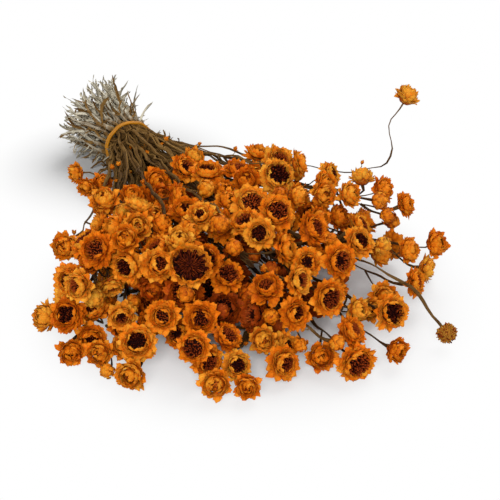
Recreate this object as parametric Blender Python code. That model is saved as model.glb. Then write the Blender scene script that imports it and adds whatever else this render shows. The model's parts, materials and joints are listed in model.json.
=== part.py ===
"""A tied bunch of dried, dyed winged everlasting (ammobium), lying on a table.

The bunch lies along Y: the cut ends of its stems point to +Y and its flowers fan out to -Y.
Every flowering stem is one solid, with its side shoots and its flower heads, and a rubber
band holds them together. The stems start side by side in rings inside the band. Their
courses are drawn as curves, and are then settled: whatever is too close is pushed apart, and
nothing goes below the table. The finished bunch is moved so that the origin is in the middle
of its box, on the table.
"""

import math

import bmesh
import bpy
import numpy as np
from mathutils import Matrix, Vector

# ---- Driving dimensions, in metres and radians -------------------------------------------

STEMS_IN_RINGS = (1, 6, 12, 18, 22)  # stems in the band, from the middle outwards
STEM_PITCH = 0.0048  # from one ring of stems to the next
STEM_RADIUS = 0.0022  # of a stem where it is tied
TIP_RADIUS = 0.0012  # of a stem under its flower
SHOOT_RADIUS = 0.0011  # of a side shoot

BUTT_LENGTH = 0.098  # of the cut ends behind the band
BUTT_SLANT = 0.75  # how much longer they are towards +X, in metres per metre
BUTT_FLARE = (1.75, 1.40)  # how much wider and higher the cut ends stand than the tied stems
BUTT_LEAN = -0.004  # of the cut ends across, away from the band's middle
REACH = (0.110, 0.350)  # from the band to the nearest and the furthest flowers
FAN = math.radians(31)  # half of the fan's angle, seen from above
# The heap of flowers: (distance from the band, height of its uppermost flowers).
MOUND = ((0.08, 0.030), (0.12, 0.042), (0.16, 0.056), (0.20, 0.067), (0.25, 0.067),
         (0.30, 0.053), (0.34, 0.032), (0.37, 0.016))

# Of a flower head, smallest and largest.
FLOWER_RADII = {"open": (0.0090, 0.0118), "half": (0.0082, 0.0104), "bud": (0.0054, 0.0078),
                "spent": (0.0070, 0.0070), "giant": (0.0140, 0.0140), "whip": (0.0100, 0.0100),
                "early": (0.0066, 0.0066)}
ROUND_KINDS = ("bud", "early", "spent")
NEARER_LARGER = 0.20  # how much larger a flower is at the band than at the far end of the fan
SIDE_SHOOTS = (3, 3, 2, 3, 2)  # on one stem after the other
SHOOTS_BY_HAND = {"whip": 0, "spent": 0, "early": 2}
SHOOT_LENGTH = (0.020, 0.044)

BAND_WIDTH = 0.0042
BAND_THICKNESS = 0.0014
BAND_ROOM = 0.0010  # between the outer stems and the band, as they slant through it
GAP = 0.0004  # kept between neighbours that touch

DYE_COLOUR = (0.80, 0.29, 0.03)
RUBBER_COLOUR = (0.72, 0.38, 0.04)
SIDES = 5  # of every tube
SEED = 11

BUNDLE_RADIUS = (len(STEMS_IN_RINGS) - 1) * STEM_PITCH
TIE_HEIGHT = BUNDLE_RADIUS * BUTT_FLARE[1] + STEM_RADIUS

# Shares of a stem's way from the band to its flower, where it may bend.
STATIONS = (0.05, 0.13, 0.24, 0.37, 0.51, 0.65, 0.78, 0.90)
FORKS = (6, 7, 5, 4)  # the stations that side shoots leave from, in that order
NECK = 0.013  # of straight stalk under a flower's middle
NECK_ROOM = 0.0021  # round that stalk, which widens into the flower

# Flower heads: (share of the radius along the axis, share of the radius across it).
OPEN_PROFILE = ((-0.62, 0.34), (0.02, 1.0), (0.42, 0.62))
OPEN_TOP = 0.52
BUD_PROFILE = ((-0.72, 0.36), (-0.1, 0.98), (0.55, 0.66))
BUD_TOP = 0.92

# Flowers round the edge of the heap and on its top, from left to right:
# (degrees from the middle of the fan, distance, height, kind).
EDGE = ((-34, 0.205, 0.040, "half"), (-33, 0.266, 0.020, "half"), (-29, 0.272, 0.026, "open"),
        (-28, 0.295, 0.012, "half"), (-28, 0.252, 0.045, "open"), (-24, 0.310, 0.008, "bud"),
        (-21, 0.317, 0.011, "half"), (-22, 0.281, 0.030, "open"), (-17, 0.289, 0.032, "open"),
        (-13, 0.293, 0.072, "giant"), (-12, 0.319, 0.016, "open"), (-12, 0.339, 0.011, "half"),
        (-12, 0.300, 0.036, "open"), (-9, 0.346, 0.011, "half"), (-4, 0.332, 0.015, "open"),
        (-5, 0.315, 0.022, "half"), (3, 0.354, 0.011, "open"), (2, 0.343, 0.022, "bud"),
        (8, 0.359, 0.013, "half"), (0, 0.309, 0.055, "open"), (3, 0.323, 0.045, "open"),
        (-1, 0.314, 0.034, "open"), (12, 0.294, 0.058, "open"), (7, 0.304, 0.056, "open"),
        (10, 0.340, 0.028, "open"), (18, 0.321, 0.024, "open"),
        (25, 0.311, 0.035, "half"), (23, 0.297, 0.030, "half"), (29, 0.274, 0.048, "open"),
        (25, 0.264, 0.055, "bud"), (22, 0.244, 0.060, "half"), (20, 0.196, 0.071, "open"),
        (23, 0.172, 0.063, "open"), (0, 0.128, 0.052, "open"), (-11, 0.128, 0.044, "half"))

# Three stems that leave the heap: where they sit in the band, then the way to their flower
# (across, forward, height).
WHIP = (0.95, 0.30, "whip"), (
    (0.0205, 0.012, 0.0345), (0.038, 0.045, 0.041), (0.062, 0.085, 0.046), (0.090, 0.130, 0.048),
    (0.120, 0.170, 0.049), (0.144, 0.188, 0.056), (0.152, 0.190, 0.070), (0.149, 0.190, 0.091),
    (0.161, 0.194, 0.115))
SPENT = (0.35, -0.90, "spent"), (
    (0.012, 0.040, 0.016), (0.018, 0.085, 0.018), (0.026, 0.130, 0.024), (0.036, 0.180, 0.030),
    (0.047, 0.225, 0.034), (0.060, 0.270, 0.038), (0.070, 0.305, 0.041), (0.081, 0.330, 0.035),
    (0.092, 0.353, 0.012))
EARLY = (-0.98, -0.15, "early"), (
    (-0.0205, 0.008, 0.026), (-0.025, 0.014, 0.026), (-0.029, 0.020, 0.026), (-0.033, 0.026, 0.027),
    (-0.037, 0.032, 0.028), (-0.041, 0.038, 0.029), (-0.045, 0.043, 0.030), (-0.049, 0.048, 0.030),
    (-0.062, 0.060, 0.028))


# ---- Growth: where every stem, shoot and flower lies --------------------------------------


def ring_spots():
    """The stems' places in the band, across and up from its middle, ring by ring."""
    spots = []
    for ring, count in enumerate(STEMS_IN_RINGS):
        for k in range(count):
            turn = 2 * math.pi * (k + 0.5 * (ring % 2)) / count
            spots.append((ring * STEM_PITCH * math.cos(turn), ring * STEM_PITCH * math.sin(turn)))
    return np.array(spots)


def mound_top(distance, turn):
    """How high the heap of flowers is, at a distance from the band and an angle in the fan."""
    return np.interp(distance, *zip(*MOUND)) * math.cos(1.05 * turn)


def fan_at(distance):
    """Half of the fan's angle at a distance from the band: it is slimmer close to the band."""
    return FAN * np.clip(0.52 + 1.9 * distance, 0, 1)


def unit(vector):
    return vector / max(np.linalg.norm(vector), 1e-12)


def bezier(points, shares):
    """Points of the cubic curve through the first and last of four points."""
    a, b, c, d = points
    return [(1 - t) ** 3 * a + 3 * t * (1 - t) ** 2 * b + 3 * t * t * (1 - t) * c + t**3 * d
            for t in shares]


def within_heap(place):
    """The nearest place that is in the fan, above the table and under the top of the heap."""
    distance = np.hypot(*place[:2])
    fan = fan_at(distance)
    turn = np.clip(math.atan2(place[0], -place[1]), -0.86 * fan, fan)
    height = np.clip(place[2], 0.011, mound_top(distance, turn))
    return np.array([distance * math.sin(turn), -distance * math.cos(turn), height])


def facing(ahead, rng):
    """Which way a flower looks: onwards and up, each one a little differently."""
    return unit(0.85 * ahead + np.array([0, 0, 0.55]) + rng.normal(0, 0.33, 3))


def flower_place(spot, rank, rng):
    """Where the flower of a stem comes to lie. Rank is 0 for the uppermost stem and 1 for the lowest."""
    across, up = spot / BUNDLE_RADIUS
    width = math.sqrt(max(1 - up * up, 0.03)) ** (0.75 if up < 0 else 0.3)
    turn = FAN * np.clip(across / width + rng.normal(0.18 * rank, 0.06), -1, 1)
    near, far = REACH
    near += 0.10 * (turn / FAN) ** 2 + 0.055 * max(turn, -1.5 * turn) / FAN
    distance = math.sqrt(near**2 + rank**0.65 * (far**2 - near**2)) * rng.uniform(0.95, 1.02)
    distance *= 1 - 0.16 * (turn / FAN) ** 2
    turn *= fan_at(distance) / FAN
    height = mound_top(distance, turn) * (1 - 0.6 * rng.random() ** 2)
    return np.array([distance * math.sin(turn), -distance * math.cos(turn), max(height, 0.011)])


def cut_end_of(spot, rng):
    across = spot[0] * BUTT_FLARE[0] + BUTT_LEAN
    along = BUTT_LENGTH * rng.uniform(0.88, 1.04) + BUTT_SLANT * across
    return np.array([across, along, TIE_HEIGHT + spot[1] * BUTT_FLARE[1]])


def course(spot, flower, rng):
    """A stem's way from the band to its flower: points at STATIONS, the neck and the flower."""
    ahead = unit(flower * (1, 1, 0))
    distance = np.linalg.norm(flower[:2])
    start = np.array([spot[0], 0.0, TIE_HEIGHT + spot[1]])
    neck = flower - NECK * facing(ahead, rng)
    handle = np.array([spot[0] * 0.3, -0.30 * distance, spot[1] * 0.75])
    end = neck - 0.30 * distance * unit(ahead + np.array([0, 0, 0.10]))
    return bezier((start, start + handle, end, neck), STATIONS) + [neck, flower]


def course_by_hand(places):
    """The way of a stem that leaves the heap."""
    line = [np.array([x, -y, z]) for x, y, z in places]
    return line[:-1] + [line[-1] - NECK * unit(line[-1] - line[-2]), line[-1]]


def share_out(spots):
    """What each stem does: {stem: (kind, places of its course, or its flower's place)}."""
    given = {}

    def nearest(across, up):
        far = np.linalg.norm(spots / BUNDLE_RADIUS - (across, up), axis=1)
        far[list(given)] = 9
        return int(np.argmin(far))

    for (across, up, kind), places in (WHIP, SPENT, EARLY):
        given[nearest(across, up)] = (kind, course_by_hand(places))
    for degrees, distance, height, kind in EDGE:
        turn = math.radians(degrees)
        up = math.cos(math.pi * (distance - REACH[0]) / (REACH[1] - REACH[0]))
        up = min(up, height / 0.06) if height > 0.06 else up
        stem = nearest(turn / FAN * math.sqrt(max(1 - up * up, 0.1)), up)
        place = np.array([distance * math.sin(turn), -distance * math.cos(turn), height])
        given[stem] = (kind, place)
    return given


def grow():
    """Every stem, shoot and flower before it is settled.

    points: all places. stems: the point numbers of each stem, from its cut end to its flower.
    shoots: (stem, [fork, neck, flower]). flowers: {point: (radius, kind)}. held: the flowers
    that keep to the places they were given.
    """
    rng = np.random.default_rng(SEED)
    spots = ring_spots()
    ranks = np.argsort(np.argsort(-spots[:, 1] + rng.normal(0, 0.0015, len(spots)))) / (len(spots) - 1)
    given = share_out(spots)
    points, stems, shoots, flowers = [], [], [], {}

    def add(place):
        points.append(np.array(place, float))
        return len(points) - 1

    def add_flower(place, kind=None):
        number = add(place)
        draw = rng.random()
        kind = kind or ("bud" if draw < 0.20 else "half" if draw < 0.48 else "open")
        low, high = FLOWER_RADII[kind]
        nearer = max(0.0, 1 - math.hypot(place[0], place[1]) / REACH[1]) if high > low else 0.0
        radius = low + (high - low) * rng.random() ** 0.8
        flowers[number] = (radius * (1 + NEARER_LARGER * nearer), kind)
        return number

    for i, spot in enumerate(spots):
        tied = np.array([spot[0], 0.0, TIE_HEIGHT + spot[1]])
        cut_end = cut_end_of(spot, rng)
        kind, way = given.get(i, (None, None))
        if way is None:
            way = flower_place(spot, ranks[i], rng)
        if len(way) == 3:
            way = course(spot, way, rng)
        stem = [add(p) for p in (cut_end, (cut_end + tied) / 2, tied, *way[:-1])]
        stem.append(add_flower(way[-1], kind))
        stems.append(stem)
        ahead = unit((way[-1] - way[3]) * (1, 1, 0.4))
        side = unit(np.cross(ahead, (0, 0, 1)))
        spin = rng.uniform(0, 2 * math.pi)
        for k in range(SHOOTS_BY_HAND.get(kind, SIDE_SHOOTS[i % len(SIDE_SHOOTS)])):
            spin += math.radians(137.5)
            length = rng.uniform(*SHOOT_LENGTH) * (0.5 if kind == "early" else 1)
            spread = math.radians(rng.uniform(20, 50))
            out = unit(side * math.cos(spin) + np.array([0, 0, 0.40 + 0.60 * math.sin(spin)]))
            fork = stem[3 + FORKS[k]]
            place = points[fork] + length * (math.cos(spread) * ahead + math.sin(spread) * out)
            place = within_heap(place) if kind != "early" else place
            neck = add(place - NECK * facing(unit(ahead + 0.5 * out), rng))
            shoots.append((i, [fork, neck, add_flower(place, "early" if kind == "early" else None)]))
    held = [stems[i][-1] for i in given]
    return {"points": np.array(points), "stems": stems, "shoots": shoots, "flowers": flowers,
            "held": held}


def stem_radius(step, steps):
    """A stem's radius at one of its points: full where it is tied, slimmer towards its flower."""
    share = max(0.0, (step - 3) / (steps - 4))
    return STEM_RADIUS + (TIP_RADIUS - STEM_RADIUS) * min(1.0, share)


def parts_of(plant):
    """Everything that takes up room, as (point, point, radius, stem); a flower's two points are one."""
    rows = []
    for i, stem in enumerate(plant["stems"]):
        rows += [(stem[k], stem[k + 1], stem_radius(k, len(stem)), i) for k in range(len(stem) - 2)]
        rows.append((stem[-2], stem[-1], NECK_ROOM, i))
        rows.append((stem[-1], stem[-1], plant["flowers"][stem[-1]][0], i))
    for i, (fork, neck, flower) in plant["shoots"]:
        rows += [(fork, neck, SHOOT_RADIUS, i), (neck, flower, NECK_ROOM, i)]
        rows.append((flower, flower, plant["flowers"][flower][0], i))
    return rows


def near_pairs(points, rows, own_neck, slack):
    """The pairs of parts that could come to touch."""
    a, b, radius, owner = rows
    start, end = points[a], points[b]
    middle, half = (start + end) / 2, np.linalg.norm(end - start, axis=1) / 2 + radius
    i, j = np.triu_indices(len(a), 1)
    apart = np.linalg.norm(middle[i] - middle[j], axis=1) - half[i] - half[j]
    i, j = i[apart < slack], j[apart < slack]
    flower_i, flower_j = a[i] == b[i], a[j] == b[j]
    same = owner[i] == owner[j]
    neck_i, neck_j = own_neck[a[i]], own_neck[a[j]]
    on_neck = flower_i & ((a[j] == neck_i) | (b[j] == neck_i))
    on_neck |= flower_j & ((a[i] == neck_j) | (b[i] == neck_j))
    keep = ~same | (flower_i & flower_j) | ((flower_i ^ flower_j) & ~on_neck)
    return i[keep], j[keep]


def closest_shares(a0, a1, b0, b1):
    """How far along two lines they come closest, each from 0 to 1."""
    u, v, w = a1 - a0, b1 - b0, a0 - b0
    uu, vv, uv = (u * u).sum(1), (v * v).sum(1), (u * v).sum(1)
    uw, vw = (u * w).sum(1), (v * w).sum(1)
    tiny = 1e-12
    s = np.clip((uv * vw - vv * uw) / np.maximum(uu * vv - uv * uv, tiny), 0, 1)
    t = np.clip((uv * s + vw) / np.maximum(vv, tiny), 0, 1)
    s = np.clip((uv * t - uw) / np.maximum(uu, tiny), 0, 1)
    return s, t


def push_apart(points, rows, pairs, free):
    """Moves the parts that are too close away from each other. Returns the deepest overlap."""
    a, b, radius, _ = rows
    i, j = pairs
    s, t = closest_shares(points[a[i]], points[b[i]], points[a[j]], points[b[j]])
    s, t = s[:, None], t[:, None]
    apart = points[a[i]] * (1 - s) + points[b[i]] * s - points[a[j]] * (1 - t) - points[b[j]] * t
    far = np.linalg.norm(apart, axis=1)
    overlap = radius[i] + radius[j] + GAP - far
    hit = overlap > 0
    if not hit.any():
        return 0.0
    i, j, s, t = i[hit], j[hit], s[hit], t[hit]
    way = np.where(far[hit, None] > 1e-9, apart[hit] / np.maximum(far[hit, None], 1e-9), (0, 0, 1))
    ends = ((a[i], 1 - s, 1), (b[i], s, 1), (a[j], 1 - t, -1), (b[j], t, -1))
    weight = sum(share**2 * free[end, None] for end, share, _ in ends)
    step = overlap[hit, None] * way / np.maximum(weight, 1e-6)
    move, count = np.zeros_like(points), np.full((len(points), 1), 1e-9)
    for end, share, sign in ends:
        np.add.at(move, end, sign * share * step * free[end, None])
        np.add.at(count, end, (share > 0.02) * 1.0)
    points += move / np.maximum(1.0, 0.6 * count)
    return float(overlap.max())


def settle(plant, rounds=260, finish=160):
    """Pushes everything apart until nothing overlaps, while stems keep their length and bend softly."""
    points = plant["points"]
    drawn = points.copy()
    rows = [np.array(column) for column in zip(*parts_of(plant))]
    a, b = rows[0], rows[1]
    free = np.ones(len(points))
    lowest = np.zeros(len(points))
    pull = np.full((len(points), 1), 0.02)
    pull[plant["held"]] = 0.20
    own_neck = np.full(len(points), -1)
    links, bends = [], []
    for stem in plant["stems"]:
        by_hand = plant["flowers"][stem[-1]][1] in ("whip", "spent", "early")
        free[stem if by_hand else stem[:3]] = 0
        links += list(zip(stem[2:-1], stem[3:]))
        bends += [stem[k - 1 : k + 2] for k in range(3, len(stem) - 2)]
        own_neck[stem[-1]] = stem[-2]
    for _, (fork, neck, flower) in plant["shoots"]:
        links += [(fork, neck), (neck, flower)]
        own_neck[flower] = neck
    for first, second, size in zip(a, b, rows[2]):
        lowest[first] = max(lowest[first], size)
        lowest[second] = max(lowest[second], size)
    p, q = np.array(links).T
    length = np.linalg.norm(points[p] - points[q], axis=1)[:, None]
    before, at, after = np.array(bends).T
    for turn in range(rounds + finish):
        if turn % 8 == 0:
            pairs = near_pairs(points, rows, own_neck, 0.008)
        if turn < rounds:
            points += pull * (drawn - points) * free[:, None]
            middle = (points[before] + points[after]) / 2
            points[at] += 0.10 * (middle - points[at]) * free[at, None]
            line = points[q] - points[p]
            now = np.linalg.norm(line, axis=1)[:, None]
            shift = 0.25 * line * (1 - length / np.maximum(now, 1e-9))
            np.add.at(points, p, shift * free[p, None])
            np.add.at(points, q, -shift * free[q, None])
        deepest = push_apart(points, rows, pairs, free)
        points[:, 2] = np.where(free > 0, np.maximum(points[:, 2], lowest), points[:, 2])
    print(f"settled: deepest overlap left {1000 * deepest:.3f} mm")
    return plant


# ---- Solids ------------------------------------------------------------------------------


def rings_along(centres, radii, sides):
    """Rings of points round a line, each square to it, with no twist between them."""
    centres = [Vector(c) for c in centres]
    rings, across = [], None
    for k, centre in enumerate(centres):
        back = centre - centres[k - 1] if k else centres[1] - centre
        on = centres[k + 1] - centre if k + 1 < len(centres) else back
        axis = (back.normalized() + on.normalized()).normalized()
        across = axis.orthogonal() if across is None else across - across.dot(axis) * axis
        across.normalize()
        rings.append([centre + radii[k] * (Matrix.Rotation(2 * math.pi * s / sides, 3, axis) @ across)
                      for s in range(sides)])
    return rings


def add_tube(mesh, centres, radii, top, sides=SIDES):
    """A closed tube through the centres. It starts flat, and ends in a point at top."""
    rings = [[mesh.verts.new(p) for p in ring] for ring in rings_along(centres, radii, sides)]
    mesh.faces.new(rings[0])
    for low, high in zip(rings, rings[1:]):
        for s in range(sides):
            mesh.faces.new((low[s], low[s - 1], high[s - 1], high[s]))
    tip = mesh.verts.new(top)
    for s in range(sides):
        mesh.faces.new((rings[-1][s], rings[-1][s - 1], tip))


def head_rings(neck, flower, radius, kind):
    """Centres, radii and tip of the flower head that sits on a stalk's end."""
    axis = unit(flower - neck)
    profile, top = (BUD_PROFILE, BUD_TOP) if kind in ROUND_KINDS else (OPEN_PROFILE, OPEN_TOP)
    centres = [flower + axis * radius * along for along, _ in profile]
    return centres, [radius * across for _, across in profile], flower + axis * radius * top


def object_of(mesh, name, origin):
    """An object of a closed mesh drawn in the bunch's own space, with its origin put in place."""
    bmesh.ops.recalc_face_normals(mesh, faces=mesh.faces)
    bmesh.ops.translate(mesh, verts=mesh.verts, vec=-Vector(origin))
    data = bpy.data.meshes.new(name)
    mesh.to_mesh(data)
    mesh.free()
    obj = bpy.data.objects.new(name, data)
    obj.location = origin
    return obj


def tube_object(name, origin, centres, radii, top):
    mesh = bmesh.new()
    add_tube(mesh, centres, radii, top)
    return object_of(mesh, name, origin)


def stalk_and_head(plant, numbers, stalk_radii):
    """The tube of a stalk that widens into its flower head."""
    points = plant["points"][numbers]
    radius, kind = plant["flowers"][numbers[-1]]
    centres, radii, top = head_rings(points[-2], points[-1], radius, kind)
    return list(points[:-1]) + centres, stalk_radii + radii, top


def flowering_stem(plant, number, bunch):
    """One stem with its side shoots and flower heads, joined in one solid."""
    name = f"flowering_stem_{number + 1:02d}"
    stem = plant["stems"][number]
    radii = [stem_radius(k, len(stem)) for k in range(len(stem) - 1)]
    tied = plant["points"][stem[2]]
    main = tube_object(name, tied, *stalk_and_head(plant, stem, radii))
    bpy.context.scene.collection.objects.link(main)
    shoots = bpy.data.collections.new(f"{name}_shoots")
    bpy.context.scene.collection.children.link(shoots)
    for owner, shoot in plant["shoots"]:
        if owner == number:
            tube = stalk_and_head(plant, shoot, [0.8 * SHOOT_RADIUS, SHOOT_RADIUS])
            fork = plant["points"][shoot[0]]
            shoots.objects.link(tube_object(f"{name}_shoot", fork, *tube))
    if shoots.objects:
        join = main.modifiers.new("join_shoots", "BOOLEAN")
        join.operation, join.solver = "UNION", "EXACT"
        join.operand_type, join.collection = "COLLECTION", shoots
        bpy.context.view_layer.update()
        graph = bpy.context.evaluated_depsgraph_get()
        main.data = bpy.data.meshes.new_from_object(main.evaluated_get(graph))
        main.modifiers.clear()
    for helper in list(shoots.objects):
        bpy.data.objects.remove(helper)
    bpy.data.collections.remove(shoots)
    finish(main, bunch, dyed_colour(number))
    return main


def rubber_band(bunch, steps=28):
    """The flat rubber band round the bundle."""
    inner = (BUNDLE_RADIUS + STEM_RADIUS + BAND_ROOM) / math.cos(math.pi / steps)
    outer = inner + BAND_THICKNESS
    half = BAND_WIDTH / 2
    section = ((inner, -half), (inner, half), (outer, half), (outer, -half))
    mesh = bmesh.new()
    rings = []
    for k in range(steps):
        turn = 2 * math.pi * k / steps
        rings.append([mesh.verts.new((r * math.cos(turn), y, TIE_HEIGHT + r * math.sin(turn)))
                      for r, y in section])
    for k in range(steps):
        for s in range(len(section)):
            mesh.faces.new((rings[k - 1][s - 1], rings[k - 1][s], rings[k][s], rings[k][s - 1]))
    band = object_of(mesh, "rubber_band", (0.0, 0.0, TIE_HEIGHT))
    bpy.context.scene.collection.objects.link(band)
    finish(band, bunch, RUBBER_COLOUR, roughness=0.45)
    return band


def dyed_colour(number):
    """The dye took a little differently on each stem."""
    shade = 0.88 + 0.24 * ((number * 0.618) % 1)
    return tuple(min(1.0, channel * shade) for channel in DYE_COLOUR)


def finish(obj, bunch, colour, roughness=0.75):
    """Gives a piece its own material and smooth faces, and hangs it on the bunch."""
    material = bpy.data.materials.new(obj.name)
    material.use_nodes = True
    shader = material.node_tree.nodes["Principled BSDF"]
    shader.inputs["Base Color"].default_value = (*colour, 1.0)
    shader.inputs["Roughness"].default_value = roughness
    obj.data.materials.clear()
    obj.data.materials.append(material)
    obj.data.shade_smooth()
    obj.data.set_sharp_from_angle(angle=math.radians(50))
    obj.parent = bunch


def stand_on_table(bunch, pieces):
    """Moves the bunch so that the origin is in the middle of its box, at the bottom."""
    bpy.context.view_layer.update()
    corners = np.array([piece.matrix_world @ v.co for piece in pieces for v in piece.data.vertices])
    low, high = corners.min(0), corners.max(0)
    bunch.location = (-(low[0] + high[0]) / 2, -(low[1] + high[1]) / 2, -low[2])


def main():
    for obj in list(bpy.data.objects):
        bpy.data.objects.remove(obj)
    bunch = bpy.data.objects.new("bunch", None)
    bpy.context.scene.collection.objects.link(bunch)
    plant = settle(grow())
    pieces = [flowering_stem(plant, i, bunch) for i in range(len(plant["stems"]))]
    pieces.append(rubber_band(bunch))
    stand_on_table(bunch, pieces)
    return plant


plant = main()
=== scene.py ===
"""Looks of a tied bunch of dried, dyed winged everlasting (ammobium), lying on a table.

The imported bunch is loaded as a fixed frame. Every flowering stem is dressed in its winged stalks
with their woolly leaves, its papery bracts and, where its flowers have any, the florets of their
discs. The rubber band is wound in two turns. The courses of the stems are grown and settled in
the same way as the frame's, so that each piece lies where its stem is.
"""

import json
import math

import bmesh
import bpy
import numpy as np
from bpy.props import FloatProperty, FloatVectorProperty, IntProperty, PointerProperty
from mathutils import Matrix, Vector

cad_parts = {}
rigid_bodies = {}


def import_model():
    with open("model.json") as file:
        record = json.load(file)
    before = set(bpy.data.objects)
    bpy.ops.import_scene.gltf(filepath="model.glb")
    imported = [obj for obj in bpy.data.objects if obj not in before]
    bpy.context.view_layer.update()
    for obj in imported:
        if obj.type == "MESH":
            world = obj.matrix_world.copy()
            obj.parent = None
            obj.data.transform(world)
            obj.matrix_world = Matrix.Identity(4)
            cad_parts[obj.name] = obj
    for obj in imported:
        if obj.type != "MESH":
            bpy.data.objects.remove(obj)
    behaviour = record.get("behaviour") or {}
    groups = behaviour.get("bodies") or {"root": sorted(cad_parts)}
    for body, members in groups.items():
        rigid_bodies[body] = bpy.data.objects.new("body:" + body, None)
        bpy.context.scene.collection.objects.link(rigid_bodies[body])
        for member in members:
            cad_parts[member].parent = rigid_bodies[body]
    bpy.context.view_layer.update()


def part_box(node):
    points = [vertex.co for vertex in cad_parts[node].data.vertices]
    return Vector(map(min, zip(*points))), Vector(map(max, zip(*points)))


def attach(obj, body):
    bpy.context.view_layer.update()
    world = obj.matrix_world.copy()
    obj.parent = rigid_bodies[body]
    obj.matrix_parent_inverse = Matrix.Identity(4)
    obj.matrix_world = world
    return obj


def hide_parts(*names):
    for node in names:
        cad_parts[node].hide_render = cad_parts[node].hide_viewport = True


bl_info = {
    "name": "Dried Everlasting Bunch",
    "version": (1, 0, 0),
    "blender": (4, 5, 0),
    "location": "3D Viewport > Sidebar > Bunch",
    "description": "Dresses a tied bunch of dried, dyed winged everlasting",
    "category": "Add Mesh",
}

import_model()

# ---- Driving dimensions, in metres and radians -------------------------------------------

STEMS_IN_RINGS = (1, 6, 12, 18, 22)  # stems in the band, from the middle outwards
STEM_PITCH = 0.0048  # from one ring of stems to the next
STEM_RADIUS = 0.0022  # of a stem where it is tied
TIP_RADIUS = 0.0012  # of a stem under its flower
SHOOT_RADIUS = 0.0011  # of a side shoot

BUTT_LENGTH = 0.098  # of the cut ends behind the band
BUTT_SLANT = 0.75  # how much longer they are towards +X, in metres per metre
BUTT_FLARE = (1.75, 1.40)  # how much wider and higher the cut ends stand than the tied stems
BUTT_LEAN = -0.004  # of the cut ends across, away from the band's middle
REACH = (0.110, 0.350)  # from the band to the nearest and the furthest flowers
FAN = math.radians(31)  # half of the fan's angle, seen from above
# The heap of flowers: (distance from the band, height of its uppermost flowers).
MOUND = ((0.08, 0.030), (0.12, 0.042), (0.16, 0.056), (0.20, 0.067), (0.25, 0.067),
         (0.30, 0.053), (0.34, 0.032), (0.37, 0.016))

# Of a flower head, smallest and largest.
FLOWER_RADII = {"open": (0.0090, 0.0118), "half": (0.0082, 0.0104), "bud": (0.0054, 0.0078),
                "spent": (0.0070, 0.0070), "giant": (0.0140, 0.0140), "whip": (0.0100, 0.0100),
                "early": (0.0066, 0.0066)}
NEARER_LARGER = 0.20  # how much larger a flower is at the band than at the far end of the fan
SIDE_SHOOTS = (3, 3, 2, 3, 2)  # on one stem after the other
SHOOTS_BY_HAND = {"whip": 0, "spent": 0, "early": 2}
SHOOT_LENGTH = (0.020, 0.044)

BAND_ROOM = 0.0010  # between the outer stems and the band, as they slant through it
GAP = 0.0004  # kept between neighbours that touch

SEED = 11

BUNDLE_RADIUS = (len(STEMS_IN_RINGS) - 1) * STEM_PITCH
TIE_HEIGHT = BUNDLE_RADIUS * BUTT_FLARE[1] + STEM_RADIUS

# Shares of a stem's way from the band to its flower, where it may bend.
STATIONS = (0.05, 0.13, 0.24, 0.37, 0.51, 0.65, 0.78, 0.90)
FORKS = (6, 7, 5, 4)  # the stations that side shoots leave from, in that order
NECK = 0.013  # of straight stalk under a flower's middle
NECK_ROOM = 0.0021  # round that stalk, which widens into the flower


# Flowers round the edge of the heap and on its top, from left to right:
# (degrees from the middle of the fan, distance, height, kind).
EDGE = ((-34, 0.205, 0.040, "half"), (-33, 0.266, 0.020, "half"), (-29, 0.272, 0.026, "open"),
        (-28, 0.295, 0.012, "half"), (-28, 0.252, 0.045, "open"), (-24, 0.310, 0.008, "bud"),
        (-21, 0.317, 0.011, "half"), (-22, 0.281, 0.030, "open"), (-17, 0.289, 0.032, "open"),
        (-13, 0.293, 0.072, "giant"), (-12, 0.319, 0.016, "open"), (-12, 0.339, 0.011, "half"),
        (-12, 0.300, 0.036, "open"), (-9, 0.346, 0.011, "half"), (-4, 0.332, 0.015, "open"),
        (-5, 0.315, 0.022, "half"), (3, 0.354, 0.011, "open"), (2, 0.343, 0.022, "bud"),
        (8, 0.359, 0.013, "half"), (0, 0.309, 0.055, "open"), (3, 0.323, 0.045, "open"),
        (-1, 0.314, 0.034, "open"), (12, 0.294, 0.058, "open"), (7, 0.304, 0.056, "open"),
        (10, 0.340, 0.028, "open"), (18, 0.321, 0.024, "open"),
        (25, 0.311, 0.035, "half"), (23, 0.297, 0.030, "half"), (29, 0.274, 0.048, "open"),
        (25, 0.264, 0.055, "bud"), (22, 0.244, 0.060, "half"), (20, 0.196, 0.071, "open"),
        (23, 0.172, 0.063, "open"), (0, 0.128, 0.052, "open"), (-11, 0.128, 0.044, "half"))

# Three stems that leave the heap: where they sit in the band, then the way to their flower
# (across, forward, height).
WHIP = (0.95, 0.30, "whip"), (
    (0.0205, 0.012, 0.0345), (0.038, 0.045, 0.041), (0.062, 0.085, 0.046), (0.090, 0.130, 0.048),
    (0.120, 0.170, 0.049), (0.144, 0.188, 0.056), (0.152, 0.190, 0.070), (0.149, 0.190, 0.091),
    (0.161, 0.194, 0.115))
SPENT = (0.35, -0.90, "spent"), (
    (0.012, 0.040, 0.016), (0.018, 0.085, 0.018), (0.026, 0.130, 0.024), (0.036, 0.180, 0.030),
    (0.047, 0.225, 0.034), (0.060, 0.270, 0.038), (0.070, 0.305, 0.041), (0.081, 0.330, 0.035),
    (0.092, 0.353, 0.012))
EARLY = (-0.98, -0.15, "early"), (
    (-0.0205, 0.008, 0.026), (-0.025, 0.014, 0.026), (-0.029, 0.020, 0.026), (-0.033, 0.026, 0.027),
    (-0.037, 0.032, 0.028), (-0.041, 0.038, 0.029), (-0.045, 0.043, 0.030), (-0.049, 0.048, 0.030),
    (-0.062, 0.060, 0.028))


# ---- Growth: where every stem, shoot and flower lies --------------------------------------


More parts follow.
